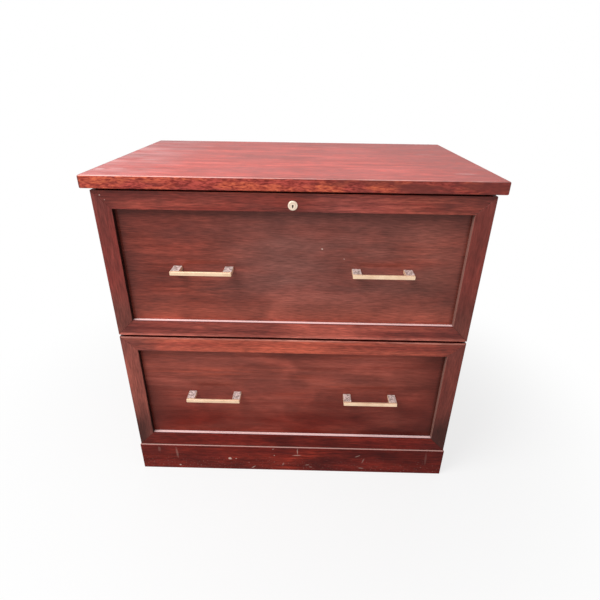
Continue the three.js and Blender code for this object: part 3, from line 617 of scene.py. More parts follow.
# %% Tones of the top, plinth and sides
TOP_TONE = dict(
    FRAME_TONE, figure=(8.0, 66.0), patches=0.12, dark=(0.350, 0.056, 0.044),
    middle=(0.475, 0.083, 0.068), light=(0.580, 0.114, 0.094), cloud=(0.345, 0.082, 0.074), clouding=0.7,
    flame=(0.660, 0.125, 0.100), flames=0.55, fibre=0.30, pores=0.3, pore=(0.18, 0.03, 0.025),
    worn=(0.66, 0.42, 0.38), roughness=0.5, shine=0.14, coat=0.12, coat_roughness=0.3,
    bands=(
        ("X", 180.0, 400.0, 0.6, (0.340, 0.056, 0.044)),
        ("Y", 100.0, 262.0, 0.6, (0.330, 0.070, 0.064)),
        ("X", -230.0, -395.0, 0.7, (0.320, 0.080, 0.082)),
    ),
)
PLINTH_TONE = dict(
    FRAME_TONE, dark=(0.100, 0.008, 0.006), middle=(0.155, 0.013, 0.008), light=(0.215, 0.024, 0.015),
    cloud=(0.075, 0.009, 0.008), clouding=0.8, flame=(0.330, 0.036, 0.020), flames=0.95, patches=0.24,
    # The side set here is a painted highlight on the plinth's upward faces.
    shine=0.05, coat=0.04, coat_roughness=0.28, sides=(("Z", 1.0, 0.9, (0.66, 0.38, 0.34)),),
    bands=(
        ("X", 60.0, 380.0, 0.6, (0.105, 0.008, 0.007)),
        ("X", 0.0, -300.0, 0.5, (0.200, 0.021, 0.014)),
    ),
)
SIDE_TONE = dict(FRAME_TONE, figure=(1.8, 40.0), middle=(0.230, 0.038, 0.026), clouding=0.6, coat=0.12)
print("top has", len(TOP_TONE["bands"]), "bands, plinth", len(PLINTH_TONE["bands"]))

# %% Tones of the rails
CORNER_SHADE = (0.110, 0.020, 0.016)
LOW_CORNER_SHADE = (0.085, 0.015, 0.012)
CORNER_DEPTH = 90.0
CORNER_EDGE = 10.0
FRONT_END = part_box("upper_front_bottom_rail")[1].x / MM
RAIL_ENDS = tuple(
    ("X", way * (FRONT_END - CORNER_DEPTH), way * (FRONT_END - CORNER_EDGE), 1.0, CORNER_SHADE)
    for way in (-1.0, 1.0)
)
GAP_UPPER_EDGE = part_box("upper_front_bottom_rail")[0].z / MM
GAP_LOWER_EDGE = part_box("lower_front_top_rail")[1].z / MM

UPPER_TOP_RAIL_TONE = dict(FRAME_TONE, bands=(
    ("X", 20.0, 60.0, 0.6, (0.350, 0.082, 0.070), ("X", 240.0, 170.0)), *RAIL_ENDS,
))
UPPER_BOTTOM_RAIL_TONE = dict(
    FRAME_TONE, middle=(0.285, 0.049, 0.034), light=(0.390, 0.080, 0.051), clouding=0.5,
    bands=(
        ("X", -50.0, 20.0, 0.9, (0.480, 0.100, 0.066), ("X", 210.0, 110.0)), *RAIL_ENDS,
        # Painted highlight along the lower edge of the upper front, above the gap.
        ("Z", GAP_UPPER_EDGE + 8.0, GAP_UPPER_EDGE + 2.5, 1.0, (0.560, 0.150, 0.110)),
    ),
)
LOWER_TOP_RAIL_TONE = dict(
    FRAME_TONE, dark=(0.232, 0.033, 0.021), middle=(0.400, 0.065, 0.038), light=(0.540, 0.110, 0.062),
    clouding=0.35,
    bands=(
        ("X", -230.0, -160.0, 0.6, (0.530, 0.095, 0.050), ("X", 200.0, 110.0)), *RAIL_ENDS,
        ("X", -295.0, -335.0, 0.9, (0.150, 0.045, 0.036)),
        # Painted highlight along the top edge of the lower front, below the gap.
        ("Z", GAP_LOWER_EDGE - 5.0, GAP_LOWER_EDGE - 2.0, 0.9, (0.620, 0.260, 0.200)),
    ),
)
LOWER_BOTTOM_RAIL_TONE = dict(PLINTH_TONE, bands=PLINTH_TONE["bands"] + tuple(
    (axis, start, end, 0.95, LOW_CORNER_SHADE) for axis, start, end, _, _ in RAIL_ENDS
))
print("gap between the fronts:", round(GAP_UPPER_EDGE - GAP_LOWER_EDGE, 2), "mm")

# %% Inner walls of the frames, painted light and shade
# Colours painted by the way each inner face looks: painted shade on the left walls, under the top rails
# and on the edges in the gaps, painted light on the right walls, and a painted highlight on the back of
# each bottom ledge.
PAINTED_RECESS_SHADE = (0.014, 0.005, 0.004)
SHADED_EDGE = (0.078, 0.003, 0.002)
PAINTED_WALL_LIGHT = (0.265, 0.135, 0.110)
PAINTED_LEDGE_HIGHLIGHT = (0.86, 0.60, 0.59)
FRONT_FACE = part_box("upper_front_top_rail")[0].y / MM
LEDGE_BACK = ("Y", FRONT_FACE + 2.75, FRONT_FACE + 4.75)
INNER_WALLS = {
    "left_stile": (("X", 1.0, 0.95, PAINTED_RECESS_SHADE),),
    "right_stile": (("X", -1.0, 0.85, PAINTED_WALL_LIGHT),),
    "top_rail": (("Z", -1.0, 0.9, PAINTED_RECESS_SHADE), ("Z", 1.0, 0.95, SHADED_EDGE)),
    "bottom_rail": (
        ("Z", 1.0, 0.9, SHADED_EDGE), ("Z", 1.0, 1.0, PAINTED_LEDGE_HIGHLIGHT, LEDGE_BACK),
        ("Z", -1.0, 0.95, SHADED_EDGE),
    ),
}
# The painted highlight on the ledges starts this far behind the front face.
print("dust lies on the ledges from", round(LEDGE_BACK[1], 1), "mm back")

# %% Which board has which tone
STILE_FOOT_SHADE = (0.165, 0.045, 0.034)
STILE_HEAD_SHADE = (0.165, 0.047, 0.040)
LOW_STILE_SHADE = (0.056, 0.014, 0.010)
FOOT_STARTS, FOOT_FULL = 145.0, 65.0
UPRIGHT_BOARDS = ("stile", "side_panel", "back_panel")
OWN_TONES = {
    "upper_front_left_stile": STILE_TONE, "upper_front_right_stile": RIGHT_STILE_TONE,
    "lower_front_left_stile": LOWER_LEFT_STILE_TONE, "lower_front_right_stile": LOWER_RIGHT_STILE_TONE,
    "top_panel": TOP_TONE, "back_panel": SIDE_TONE,
    "left_side_panel": SIDE_TONE, "right_side_panel": SIDE_TONE,
    "upper_front_panel": UPPER_PANEL_TONE, "lower_front_panel": LOWER_PANEL_TONE,
    "upper_front_top_rail": UPPER_TOP_RAIL_TONE, "upper_front_bottom_rail": UPPER_BOTTOM_RAIL_TONE,
    "lower_front_top_rail": LOWER_TOP_RAIL_TONE, "lower_front_bottom_rail": LOWER_BOTTOM_RAIL_TONE,
}


def stile_bands(name):
    """Shade towards the foot and the head of a stile."""
    low, high = (corner.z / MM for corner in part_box(name))
    foot = LOW_STILE_SHADE if "lower" in name else STILE_FOOT_SHADE
    return (
        ("Z", low + FOOT_STARTS, low + FOOT_FULL, 1.0, foot),
        ("Z", low + CORNER_DEPTH, low + CORNER_EDGE, 0.95, foot),
        ("Z", high - CORNER_DEPTH, high - CORNER_EDGE, 0.7, STILE_HEAD_SHADE),
    )


def board_tone(name):
    """Which of the stain's tones a board has."""
    tone = OWN_TONES.get(name, FRAME_TONE)
    if name.startswith("plinth"):
        tone = PLINTH_TONE
    if name.endswith("stile"):
        tone = dict(tone, bands=stile_bands(name))
    for ending, walls in INNER_WALLS.items():
        if "_front_" in name and name.endswith(ending):
            return dict(tone, sides=walls)
    return tone


def board_grain(name):
    """Which way a board's grain runs."""
    if any(word in name for word in UPRIGHT_BOARDS):
        return "z"
    if name in ("plinth_left", "plinth_right"):
        return "y"
    return "x"


def dress(name, finish):
    """Gives a CAD node its finish."""
    nodes[name].material_slots[0].link = "OBJECT"
    nodes[name].material_slots[0].material = finish


print(len(OWN_TONES), "boards have a tone of their own")

# %% [markdown]
# ## Chips, scuffs and the front edge of the top
# This cabinet has been moved about: the plinth has pale chips, scratches and a fine speckle, the
# upper panel and one corner have small chips, and the top is scuffed near its ends. Brads show in
# the back. Marks could be painted on an image, but a ragged spot made from distance and noise stays
# sharp at any size and sits in the wood itself. The front edge of the top is its own strip, cut
# across the figure, so it is mottled and more orange.

# %% Marks
MARK_DEPTH = 3.0
MARK_FADES, MARK_FULL = 1.35, 0.95
MARK_RAGGEDNESS = 700.0
MARK_ROUGHNESS = 0.8
CHIP_COLOUR = (0.62, 0.44, 0.37)


def ragged_spot(tree, spot):
    """A mask of one mark: x, y, z and half sizes in mm, lean in degrees, and how strong it is."""
    x, y, z, half_x, half_y, half_z, lean, strength = spot
    local = add_node(tree, "ShaderNodeMapping", {
        "Vector": place_on_part(tree), "Location": Vector((x, y, z)) * MM,
        "Rotation": (0.0, math.radians(lean), 0.0), "Scale": Vector((half_x, half_y, half_z)) * MM,
    }, vector_type="TEXTURE")
    far = add_node(tree, "ShaderNodeVectorMath", {0: local.outputs[0]}, operation="LENGTH")
    edge = plus(tree, far.outputs["Value"], speckled(tree, MARK_RAGGEDNESS))
    return between(tree, edge, MARK_FADES, MARK_FULL, 0.0, strength)


def marked_with(colour_of_mark, spots):
    """A step for stain_finish that adds marks of one colour to a board."""
    def add_marks(tree, space, colour, roughness):
        for spot in spots:
            mask = ragged_spot(tree, spot)
            colour = mixed(tree, mask, colour, colour_of_mark)
            roughness = more_of(tree, roughness, times(tree, mask, MARK_ROUGHNESS))
        return colour, roughness
    return add_marks


print("a mark reaches", MARK_DEPTH, "mm deep")

# %% Where the marks are
PLINTH_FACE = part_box("plinth_front")[0].y / MM
PLINTH_SPOTS = [
    (x, PLINTH_FACE, z, half_x, MARK_DEPTH, half_z, lean, strength)
    for x, z, half_x, half_z, lean, strength in (
        (-161, 38, 6.3, 5.0, 10, 1.0), (-145, 38, 2.5, 2.0, 0, 0.75), (-294, 11, 3.8, 2.8, 0, 0.85),
        (-298, 54, 3.8, 25.0, -3, 0.17), (-343, 66, 5.0, 12.0, 6, 0.11),
        (-99, 10, 6.3, 1.8, -35, 0.65), (-103, 7, 3.8, 1.5, 20, 0.5), (-48, 74, 3.6, 1.8, -20, 0.5),
        (-45, 52, 2.3, 2.2, 0, 0.65), (15, 67, 1.8, 15.0, -2, 0.5), (14, 54, 15.0, 2.0, -3, 0.55),
        (-22, 22, 2.3, 7.0, 12, 0.35), (41, 21, 7.5, 2.2, -15, 0.3), (50, 14, 6.3, 2.0, 10, 0.25),
        (171, 56, 10.0, 2.0, -28, 0.4), (186, 40, 1.9, 11.0, 18, 0.35), (182, 14, 8.8, 2.0, 6, 0.45),
        (347, 52, 3.6, 30.0, -3, 0.08),
    )
]
PANEL_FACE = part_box("upper_front_panel")[0].y / MM
PANEL_SPOTS = [
    (60, PANEL_FACE, 617, 2.4, MARK_DEPTH, 2.2, 0, 1.0),
    (106, PANEL_FACE, 596, 2.0, MARK_DEPTH, 1.4, 20, 0.8),
]
CORNER_SPOTS = [
    (-371, FRONT_FACE, 723, 2.0, MARK_DEPTH, 1.6, 0, 0.9),
    (-363, FRONT_FACE, 714, 1.4, MARK_DEPTH, 1.4, 0, 0.5),
]
BRAD_COLOUR = (0.36, 0.33, 0.31)
BRAD_RADIUS = 4.5
BRAD_INSET = 5.0
BRAD_SHARES = (0.02, 0.3, 0.5, 0.7, 0.98)
back_low, back_high = (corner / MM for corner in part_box("back_panel"))
BRAD_HEIGHTS = [back_low.z + share * (back_high.z - back_low.z) for share in BRAD_SHARES]
BRAD_SPOTS = [
    (x, back_high.y, z, BRAD_RADIUS, MARK_DEPTH, BRAD_RADIUS, 0, 1.0)
    for x in (back_low.x + BRAD_INSET, back_high.x - BRAD_INSET) for z in BRAD_HEIGHTS
]
print(len(PLINTH_SPOTS), "marks on the plinth,", len(BRAD_SPOTS), "brads in the back")

# %% The top's edges, painted sheen and rim
top_low, top_high = (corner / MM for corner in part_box("top_panel"))
STRIP_LINE = top_low.y + 1.75
STRIP_FADE = 0.3
STRIP_REDS = ((0.38, (0.172, 0.019, 0.015)), (0.62, (0.480, 0.075, 0.056)))
STRIP_ORANGES = (
    (0.36, (0.222, 0.026, 0.017)), (0.50, (0.460, 0.078, 0.043)), (0.66, (0.670, 0.150, 0.065)),
)
STRIP_DULL_AND_SHADED = (0.152, 0.030, 0.024)
STRIP_SHADE_STARTS, STRIP_SHADE_FULL = 20.0, 240.0
PAINTED_ARRIS_HIGHLIGHT = (0.74, 0.44, 0.41)
# One pale colour for the scuffs and for the painted sheen at the left end.
SCUFF_AND_SHEEN_COLOUR = (0.68, 0.46, 0.46)
SHEEN_STARTS, SHEEN_FULL = -220.0, -400.0
RIM = 4.0
RIM_COLOUR = (0.130, 0.030, 0.026)
SCUFF_DEPTH = 4.0
TOP_SPOTS = [
    (x, y, top_high.z, half_x, half_y, SCUFF_DEPTH, 0, strength)
    for x, y, half_x, half_y, strength in (
        (-250, 158, 38.0, 5.0, 0.32), (-180, 166, 30.0, 4.0, 0.28), (-385, -190, 14.0, 9.0, 0.5),
        (-356, -178, 26.0, 6.0, 0.4), (-372, -30, 30.0, 6.0, 0.3), (-330, -70, 34.0, 7.0, 0.22),
        (318, 64, 34.0, 12.0, 0.12), (340, -182, 30.0, 10.0, 0.24), (90, 170, 40.0, 4.0, 0.2),
    )
]


def strip_colour(tree, space):
    """Red and orange mottle of the top's edges, with dull patches and a painted shade that grows to the
    right.
    """
    mottle = streaks(tree, space, 95.0, 380.0, 3.0, 0.4)
    red, orange = shaded(tree, mottle, *STRIP_REDS), shaded(tree, mottle, *STRIP_ORANGES)
    patches = between(tree, streaks(tree, space, 11.0, 40.0, 3.0), 0.44, 0.58)
    strip = mixed(tree, patches, red, orange)
    # Painted shade on the edge strip, growing towards the right end, away from the light.
    painted_shade_rightward = times(tree, reach(tree, "X", STRIP_SHADE_STARTS, STRIP_SHADE_FULL), 0.34)
    dulled = plus(tree, streaks(tree, space, 14.0, 90.0, 2.0), painted_shade_rightward)
    return mixed(tree, between(tree, dulled, 0.56, 0.86, 0.0, 0.85), strip, STRIP_DULL_AND_SHADED)


def top_marks(tree, space, colour, roughness):
    """Scuffs and painted sheen on the top, mottled edges, a dark rim and a painted highlight on the
    front arris.
    """
    colour, roughness = marked_with(SCUFF_AND_SHEEN_COLOUR, TOP_SPOTS)(tree, space, colour, roughness)
    # Painted sheen, pale and streaked, over the left end of the top.
    sheen_streaks = between(tree, streaks(tree, space, 9.0, 40.0), 0.38, 0.65, 0.0, 0.38)
    painted_sheen_left = reach(tree, "X", SHEEN_STARTS, SHEEN_FULL)
    colour = mixed(tree, times(tree, painted_sheen_left, sheen_streaks), colour, SCUFF_AND_SHEEN_COLOUR)

    on_strip = reach(tree, "Y", STRIP_LINE, STRIP_LINE - STRIP_FADE)
    on_end = between(tree, facing_either_way(tree, "X"), SIDE_STARTS, SIDE_FULL)
    colour = mixed(tree, more_of(tree, on_strip, on_end), colour, strip_colour(tree, space))

    rim = more_of(tree, reach(tree, "X", top_low.x + RIM, top_low.x + RIM / 2),
                  reach(tree, "Y", top_high.y - RIM, top_high.y - RIM / 2))
    colour = mixed(tree, times(tree, rim, 0.8), colour, RIM_COLOUR)

    # Painted highlight along the front arris of the top, broken up.
    arris = times(tree, between(tree, facing(tree, "Z"), 0.35, 0.55), on_strip)
    broken = between(tree, streaks(tree, space, 6.0, 6.0), 0.36, 0.60, 0.1, 0.8)
    return mixed(tree, times(tree, arris, broken), colour, PAINTED_ARRIS_HIGHLIGHT), roughness


print(len(TOP_SPOTS), "scuffs on the top")

# %% Stain the boards
SPECK_SCALE = 300.0
SPECK_STARTS, SPECK_FULL = 60.0, 8.0


def plinth_marks(tree, space, colour, roughness):
    """Chips and scratches on the plinth, and a fine pale speckle low down."""
    colour, roughness = marked_with(CHIP_COLOUR, PLINTH_SPOTS)(tree, space, colour, roughness)
    speckle = between(tree, speckled(tree, SPECK_SCALE), 0.64, 0.74, 0.0, 0.5)
    low_down = times(tree, speckle, reach(tree, "Z", SPECK_STARTS, SPECK_FULL))
    return mixed(tree, low_down, colour, CHIP_COLOUR), roughness


BOARD_MARKS = {
    "top_panel": top_marks,
    "plinth_front": plinth_marks,
    "upper_front_panel": marked_with(CHIP_COLOUR, PANEL_SPOTS),
    "upper_front_left_stile": marked_with(CHIP_COLOUR, CORNER_SPOTS),
    "upper_front_top_rail": marked_with(CHIP_COLOUR, CORNER_SPOTS),
    "back_panel": marked_with(BRAD_COLOUR, BRAD_SPOTS),
}
for board, name in enumerate(STAINED_BOARDS):
    finish = stain_finish(
        "stain_" + name, board_grain(name), board, board_tone(name), BOARD_MARKS.get(name),
    )
    dress(name, finish)
print("stained", len(STAINED_BOARDS), "boards,", len(BOARD_MARKS), "of them marked")

# %% [markdown]
# ## Pale wood of the drawer boxes
# Drawer boxes are birch, sanded and given a clear satin lacquer, so they stay pale and plain.
# The same grain helpers make it, with softer streaks and no stain.

# %% Box wood finish
BIRCH_SHADES = ((0.3, (0.50, 0.33, 0.18)), (0.5, (0.62, 0.45, 0.27)), (0.75, (0.72, 0.56, 0.37)))
BIRCH_FLECK = (0.42, 0.26, 0.13)
BIRCH_END = (0.36, 0.22, 0.11)
BIRCH_RELIEF = 0.1 * MM


def birch_finish(name, grain, board):
    """Clear-lacquered birch for one board of a drawer box."""
    finish, tree, shader = new_finish(name)
    space = grain_space(tree, grain, board)
    figure = streaks(tree, space, 1.5, 26.0, 4.0, 0.8)
    colour = shaded(tree, figure, *BIRCH_SHADES)
    flecks = between(tree, streaks(tree, space, 60.0, 700.0, 2.0), 0.62, 0.72, 0.0, 0.5)
    colour = mixed(tree, flecks, colour, BIRCH_FLECK)
    endways = between(tree, facing_either_way(tree, grain.upper()), 0.7, 0.9, 0.0, 0.75)
    colour = mixed(tree, endways, colour, BIRCH_END)
    fibre = streaks(tree, space, 12.0, 320.0, 3.0)
    fill(tree, shader, {
        "Base Color": colour, "Roughness": between(tree, fibre, 0.3, 0.7, 0.42, 0.56),
        "Normal": bumpy(tree, fibre, 0.2, BIRCH_RELIEF), "Coat Weight": 0.15, "Coat Roughness": 0.35,
    })
    return finish


for board, name in enumerate(BOX_BOARDS):
    grain = "y" if "side" in name else "x"
    dress(name, birch_finish("birch_" + name, grain, board))
print("lacquered", len(BOX_BOARDS), "box boards")

# %% [markdown]
# ## Metals and nylon
# The lock face is nickel with a satin brush. The pulls are warmer, like champagne, with a grey and pale
# speckle on the upward faces of their legs. The runners, file bars and lock case are zinc-plated steel,
# cooler and slightly cloudy. A smooth metal would be simpler, but it would only mirror the white studio.
# So brushing is fine noise drawn out along the part, felt as roughness and a slight relief. The feet are
# black moulded nylon on a threaded steel shank: one finish has both, divided at the top of the pad.

# %% Nickel and steel finishes
BRUSH_RELIEF = 0.03 * MM


def brushed_metal(name, grain, colour, cloud, roughness, brush, metallic=1.0):
    """Metal with lines along the grain and slight clouds in its plating."""
    finish, tree, shader = new_finish(name)
    space = grain_space(tree, grain, 0)
    lines = streaks(tree, space, *brush, 2.0)
    clouds = between(tree, streaks(tree, space, 40.0, 40.0, 4.0), 0.35, 0.7)
    fill(tree, shader, {
        "Base Color": mixed(tree, clouds, colour, cloud), "Metallic": metallic,
        "Roughness": between(tree, lines, 0.3, 0.7, roughness - 0.07, roughness + 0.09),
        "Normal": bumpy(tree, lines, 0.12, BRUSH_RELIEF),
    })
    return finish


def recoloured(finish, mask, colour):
    """Gives a finish another colour within a mask."""
    tree = finish.node_tree
    shader = tree.nodes["Principled BSDF"]
    plated = shader.inputs["Base Color"].links[0].from_socket
    fill(tree, shader, {"Base Color": mixed(tree, mask, plated, colour)})
    return finish


BRUSHED_LINES = (30.0, 2500.0)
ROLLED_LINES = (20.0, 900.0)
NICKEL_COLOURS = ((0.98, 0.84, 0.70), (0.88, 0.70, 0.54))
ZINC_COLOURS = ((0.66, 0.67, 0.68), (0.52, 0.53, 0.55))
NICKEL = brushed_metal("satin_nickel_brushed", "x", *NICKEL_COLOURS, 0.5, BRUSHED_LINES, 0.55)
ZINC = brushed_metal("zinc_plate", "y", *ZINC_COLOURS, 0.34, ROLLED_LINES)
ZINC_BAR = brushed_metal("zinc_plate_bar", "x", *ZINC_COLOURS, 0.34, ROLLED_LINES)
print("brushed nickel and rolled zinc ready")

# %% Pull finish
CHAMPAGNE_COLOURS = ((0.97, 0.72, 0.50), (0.84, 0.58, 0.38))
LEG_TOP_COLOURS = ((0.42, 0.34, 0.31), (0.98, 0.84, 0.80))
LEG_TOP_SCALE = 260.0
BAR_DEPTH = 5.0
BAR_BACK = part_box("upper_left_pull")[0].y / MM + BAR_DEPTH


def pull_finish():
    """Champagne nickel, with a dull grey and pale speckle on the upward faces of the legs."""
    finish = brushed_metal("champagne_nickel", "x", *CHAMPAGNE_COLOURS, 0.5, BRUSHED_LINES, 0.5)
    tree = finish.node_tree
    leg_top_speckle = between(tree, speckled(tree, LEG_TOP_SCALE, 3.0), 0.42, 0.60)
    leg_top_colour = mixed(tree, leg_top_speckle, *LEG_TOP_COLOURS)
    upward = between(tree, facing(tree, "Z"), 0.7, 0.9)
    on_legs = times(tree, reach(tree, "Y", BAR_BACK, BAR_BACK + 1.0), upward)
    return recoloured(finish, on_legs, leg_top_colour)


PULL = pull_finish()
for name in NICKEL_PARTS:
    dress(name, PULL if name.endswith("pull") else NICKEL)
for name in STEEL_PARTS:
    dress(name, ZINC_BAR if name.endswith("file_bar") else ZINC)
print("plated", len(NICKEL_PARTS), "nickel and", len(STEEL_PARTS), "steel parts")

# %% Dark keyhole
KEYHOLE_DARK = (0.006, 0.005, 0.005)
KEYHOLE_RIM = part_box("lock_plug")[0].y / MM + 0.5


def keyhole_finish():
    """Nickel on the face of the lock's plug, black grease and shade inside the keyhole."""
    finish = NICKEL.copy()
    finish.name = "satin_nickel_keyhole"
    inside = reach(finish.node_tree, "Y", KEYHOLE_RIM, KEYHOLE_RIM + 0.2)
    return recoloured(finish, inside, KEYHOLE_DARK)


dress("lock_plug", keyhole_finish())
print("keyhole darkened behind", round(KEYHOLE_RIM, 1), "mm")

# %% Leveller finish
PAD_TOP = 8.0
THREAD_PITCH = 1.5 * MM
NYLON_COLOURS = ((0.012, 0.012, 0.013), (0.030, 0.030, 0.032))
THREAD_STEEL = (0.60, 0.61, 0.62)
NYLON_GRAIN = 1800.0
NYLON_RELIEF = 0.05 * MM


def leveller_finish():
    """Black nylon up to the top of the pad, zinc-plated thread above it."""
    finish, tree, shader = new_finish("leveller_nylon_and_steel")
    height = add_node(tree, "ShaderNodeSeparateXYZ", {"Vector": place_on_part(tree)}).outputs["Z"]
    is_steel = reach(tree, "Z", PAD_TOP - 0.1, PAD_TOP + 0.1)
    speckle = speckled(tree, NYLON_GRAIN)
    nylon = mixed(tree, speckle, *NYLON_COLOURS)
    turns = add_node(tree, "ShaderNodeMath", {0: height, 1: THREAD_PITCH}, operation="PINGPONG")
    thread = times(tree, turns.outputs[0], is_steel)
    heights = plus(tree, thread, times(tree, speckle, NYLON_RELIEF))
    fill(tree, shader, {
        "Base Color": mixed(tree, is_steel, nylon, THREAD_STEEL), "Metallic": is_steel,
        "Roughness": between(tree, speckle, 0.3, 0.7, 0.40, 0.55),
        "Normal": bumpy(tree, heights, 0.8, 1.0),
    })
    return finish


LEVELLER = leveller_finish()
for name in LEVELLERS:
    dress(name, LEVELLER)
print("finished", len(LEVELLERS), "levellers")

# %% [markdown]
# ## Screws
# An opened drawer shows how it is held together: screws hold the runners, the pulls and the drawer
# front. A screw head could be a plain cylinder, but the cross recess is what the eye looks for.
# So a head is built ring by ring in bmesh, and a cross outline is cut into its top. All screws that
# move together share one mesh, because there are many and nobody picks them one by one.

# %% Screw head builder
HEAD_SIDES = 24
HEAD_PROFILE = ((1.0, 0.0), (1.0, 0.35), (0.9, 0.72), (0.7, 0.94), (0.58, 1.0))
CROSS_REACH = 0.44
CROSS_HALF_WIDTH = 0.11
CROSS_DEPTH = 0.7


def ring_of(shell, where, outline, height):
    """New vertices round an outline at one height, placed by a matrix."""
    return [shell.verts.new(where @ Vector((x, y, height))) for x, y in outline]


def wall_between(shell, lower, upper):
    """Four-sided faces between two rings of as many points."""
    count = len(lower)
    for i in range(count):
        shell.faces.new((lower[i], lower[(i + 1) % count], upper[(i + 1) % count], upper[i]))


def standing_on(place, outward):
    """A matrix that stands a piece on a surface at a place, with its Z outward."""
    return Matrix.Translation(place) @ outward.to_track_quat("Z", "Y").to_matrix().to_4x4()


def add_dome(shell, where, profile, radius, rise):
    """Rings and walls after a profile of shares of radius and rise, closed below; gives the top ring."""
    angles = [2 * math.pi * i / HEAD_SIDES for i in range(HEAD_SIDES)]
    rings = []
    for share, height in profile:
        circle = [(radius * share * math.cos(a), radius * share * math.sin(a)) for a in angles]
        rings.append(ring_of(shell, where, circle, rise * height))
    for lower, upper in zip(rings, rings[1:]):
        wall_between(shell, lower, upper)
    shell.faces.new(list(reversed(rings[0])))
    return rings[-1]


def add_screw(shell, place, outward, radius, rise):
    """A domed head with a cross recess, standing on a surface at a place, in metres."""
    where = standing_on(place, outward)
    top = add_dome(shell, where, HEAD_PROFILE, radius, rise)

    far, near = radius * CROSS_REACH, radius * CROSS_HALF_WIDTH
    arm = [(far, -near), (far, near), (near, near)]
    cross = []
    for quarter in range(4):
        turn = Matrix.Rotation(math.pi / 2 * quarter, 2)
        cross += [tuple(turn @ Vector(point)) for point in arm]
    rim = ring_of(shell, where, cross, rise)
    floor_ring = ring_of(shell, where, cross, rise * (1.0 - CROSS_DEPTH))
    wall_between(shell, rim, floor_ring)
    shell.faces.new(floor_ring)
    edges = []
    for loop in (top, rim):
        for i, vertex in enumerate(loop):
            edges.append(shell.edges.get((vertex, loop[(i + 1) % len(loop)])))
    bmesh.ops.triangle_fill(shell, edges=edges, normal=outward, use_beauty=True)


def finished_piece(name, shell, body, finish):
    """Turns a bmesh into a piece that rides on a CAD body."""
    bmesh.ops.recalc_face_normals(shell, faces=shell.faces)
    mesh = bpy.data.meshes.new(name)
    shell.to_mesh(mesh)
    shell.free()
    mesh.shade_smooth()
    mesh.set_sharp_from_angle(angle=SHARP_ANGLE)
    mesh.materials.append(finish)
    piece = bpy.data.objects.new(name, mesh)
    scene.collection.objects.link(piece)
    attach(piece, body)
    return piece


print("screw head has", len(HEAD_PROFILE), "rings of", HEAD_SIDES, "points")

# %% Screws on each body
RUNNER_HOLE_INSET = 35.0 * MM
RUNNER_HOLES = 4
RUNNER_SCREW = (2.3 * MM, 0.9 * MM)
BOX_SCREW = (4.2 * MM, 2.2 * MM)
LOCK_SCREW = (2.4 * MM, 1.0 * MM)
STRIKE_SCREW = (2.4 * MM, 0.3 * MM)
PULL_SCREW_INSET = 9.0 * MM
FRONT_SCREW_INSET = 40.0 * MM
FRONT_SCREW_SPREAD = 0.82
LOCK_SCREW_SPREAD = 0.78
STRIKE_SCREW_SPREAD = 0.75
INWARD = Vector((0.0, 1.0, 0.0))
DOWNWARD = Vector((0.0, 0.0, -1.0))


def runner_screws(shell, level, hand, member):
    """Screws through the web of one runner member, standing on the board behind it."""
    low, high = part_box(f"{level}_{hand}_{member}_runner")
    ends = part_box(f"{level}_{hand}_cabinet_runner")
    to_right = 1.0 if hand == "right" else -1.0
    toward = to_right if member == "drawer" else -to_right
    x = low.x if toward > 0 else high.x
    first = ends[0].y + RUNNER_HOLE_INSET
    step = (ends[1].y - RUNNER_HOLE_INSET - first) / (RUNNER_HOLES - 1)
    for i in range(RUNNER_HOLES):
        place = Vector((x, first + i * step, (low.z + high.z) / 2))
        add_screw(shell, place, Vector((toward, 0.0, 0.0)), *RUNNER_SCREW)


def drawer_screws(level):
    """Screws of the pulls, the front and the runners of one drawer."""
    shell = bmesh.new()
    low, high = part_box(f"{level}_box_front")
    for hand in ("left", "right"):
        runner_screws(shell, level, hand, "drawer")
        pull_low, pull_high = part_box(f"{level}_{hand}_pull")
        for x in (pull_low.x + PULL_SCREW_INSET, pull_high.x - PULL_SCREW_INSET):
            add_screw(shell, Vector((x, high.y, (pull_low.z + pull_high.z) / 2)), INWARD, *BOX_SCREW)
    for x in (low.x * FRONT_SCREW_SPREAD, 0.0, high.x * FRONT_SCREW_SPREAD):
        for z in (low.z + FRONT_SCREW_INSET, high.z - FRONT_SCREW_INSET):
            add_screw(shell, Vector((x, high.y, z)), INWARD, *BOX_SCREW)
    if level == "upper":
        case_low, case_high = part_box("lock_case")
        for x in (case_low.x * LOCK_SCREW_SPREAD, case_high.x * LOCK_SCREW_SPREAD):
            place = Vector((x, case_high.y, (case_low.z + case_high.z) / 2))
            add_screw(shell, place, INWARD, *LOCK_SCREW)
    return finished_piece(f"{level}_drawer_screws", shell, f"{level}_drawer", ZINC)


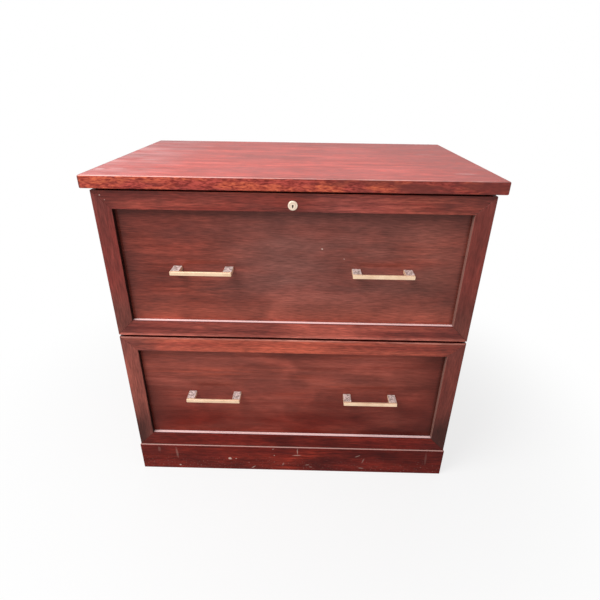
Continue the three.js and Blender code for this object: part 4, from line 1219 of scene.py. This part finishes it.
def carcass_screws():
    """Screws of the fixed runner members and of the strike plate."""
    shell = bmesh.new()
    for level in ("upper", "lower"):
        for hand in ("left", "right"):
            runner_screws(shell, level, hand, "cabinet")
    low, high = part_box("lock_strike_plate")
    for x in (low.x * STRIKE_SCREW_SPREAD, high.x * STRIKE_SCREW_SPREAD):
        add_screw(shell, Vector((x, (low.y + high.y) / 2, low.z)), DOWNWARD, *STRIKE_SCREW)
    return finished_piece("carcass_screws", shell, "carcass", ZINC)


for screws in (drawer_screws("upper"), drawer_screws("lower"), carcass_screws()):
    print(screws.name, "has", len(screws.data.polygons), "faces")

# %% [markdown]
# ## Bumpers behind the drawer fronts
# Small rubber bumpers keep a drawer front from knocking on the cabinet. They are flat domes, stuck
# behind the stiles where these meet the cabinet's sides. A dome is turned from a short profile.

# %% Bumpers
BUMPER_RADIUS = 5.0 * MM
BUMPER_RISE = 1.6 * MM
BUMPER_INSET = 28.0 * MM
BUMPER_PROFILE = ((1.0, 0.0), (1.0, 0.5), (0.93, 0.8), (0.78, 0.97), (0.4, 1.0))
RUBBER_COLOURS = ((0.020, 0.020, 0.021), (0.045, 0.045, 0.047))
RUBBER_GRAIN = 1500.0


def rubber_finish():
    """Dark grey rubber with a faint speckle."""
    finish, tree, shader = new_finish("bumper_rubber")
    speckle = speckled(tree, RUBBER_GRAIN)
    fill(tree, shader, {
        "Base Color": mixed(tree, speckle, *RUBBER_COLOURS),
        "Roughness": between(tree, speckle, 0.3, 0.7, 0.6, 0.75),
    })
    return finish


def drawer_bumpers(level):
    """Four rubber bumpers behind the stiles of one drawer front."""
    shell = bmesh.new()
    for hand in ("left", "right"):
        low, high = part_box(f"{level}_front_{hand}_stile")
        side_low, side_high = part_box(f"{hand}_side_panel")
        for z in (low.z + BUMPER_INSET, high.z - BUMPER_INSET):
            place = Vector(((side_low.x + side_high.x) / 2, high.y, z))
            where = standing_on(place, INWARD)
            shell.faces.new(add_dome(shell, where, BUMPER_PROFILE, BUMPER_RADIUS, BUMPER_RISE))
    return finished_piece(f"{level}_drawer_bumpers", shell, f"{level}_drawer", RUBBER)


RUBBER = rubber_finish()
for bumpers in (drawer_bumpers("upper"), drawer_bumpers("lower")):
    print(bumpers.name, "has", len(bumpers.data.polygons), "faces")
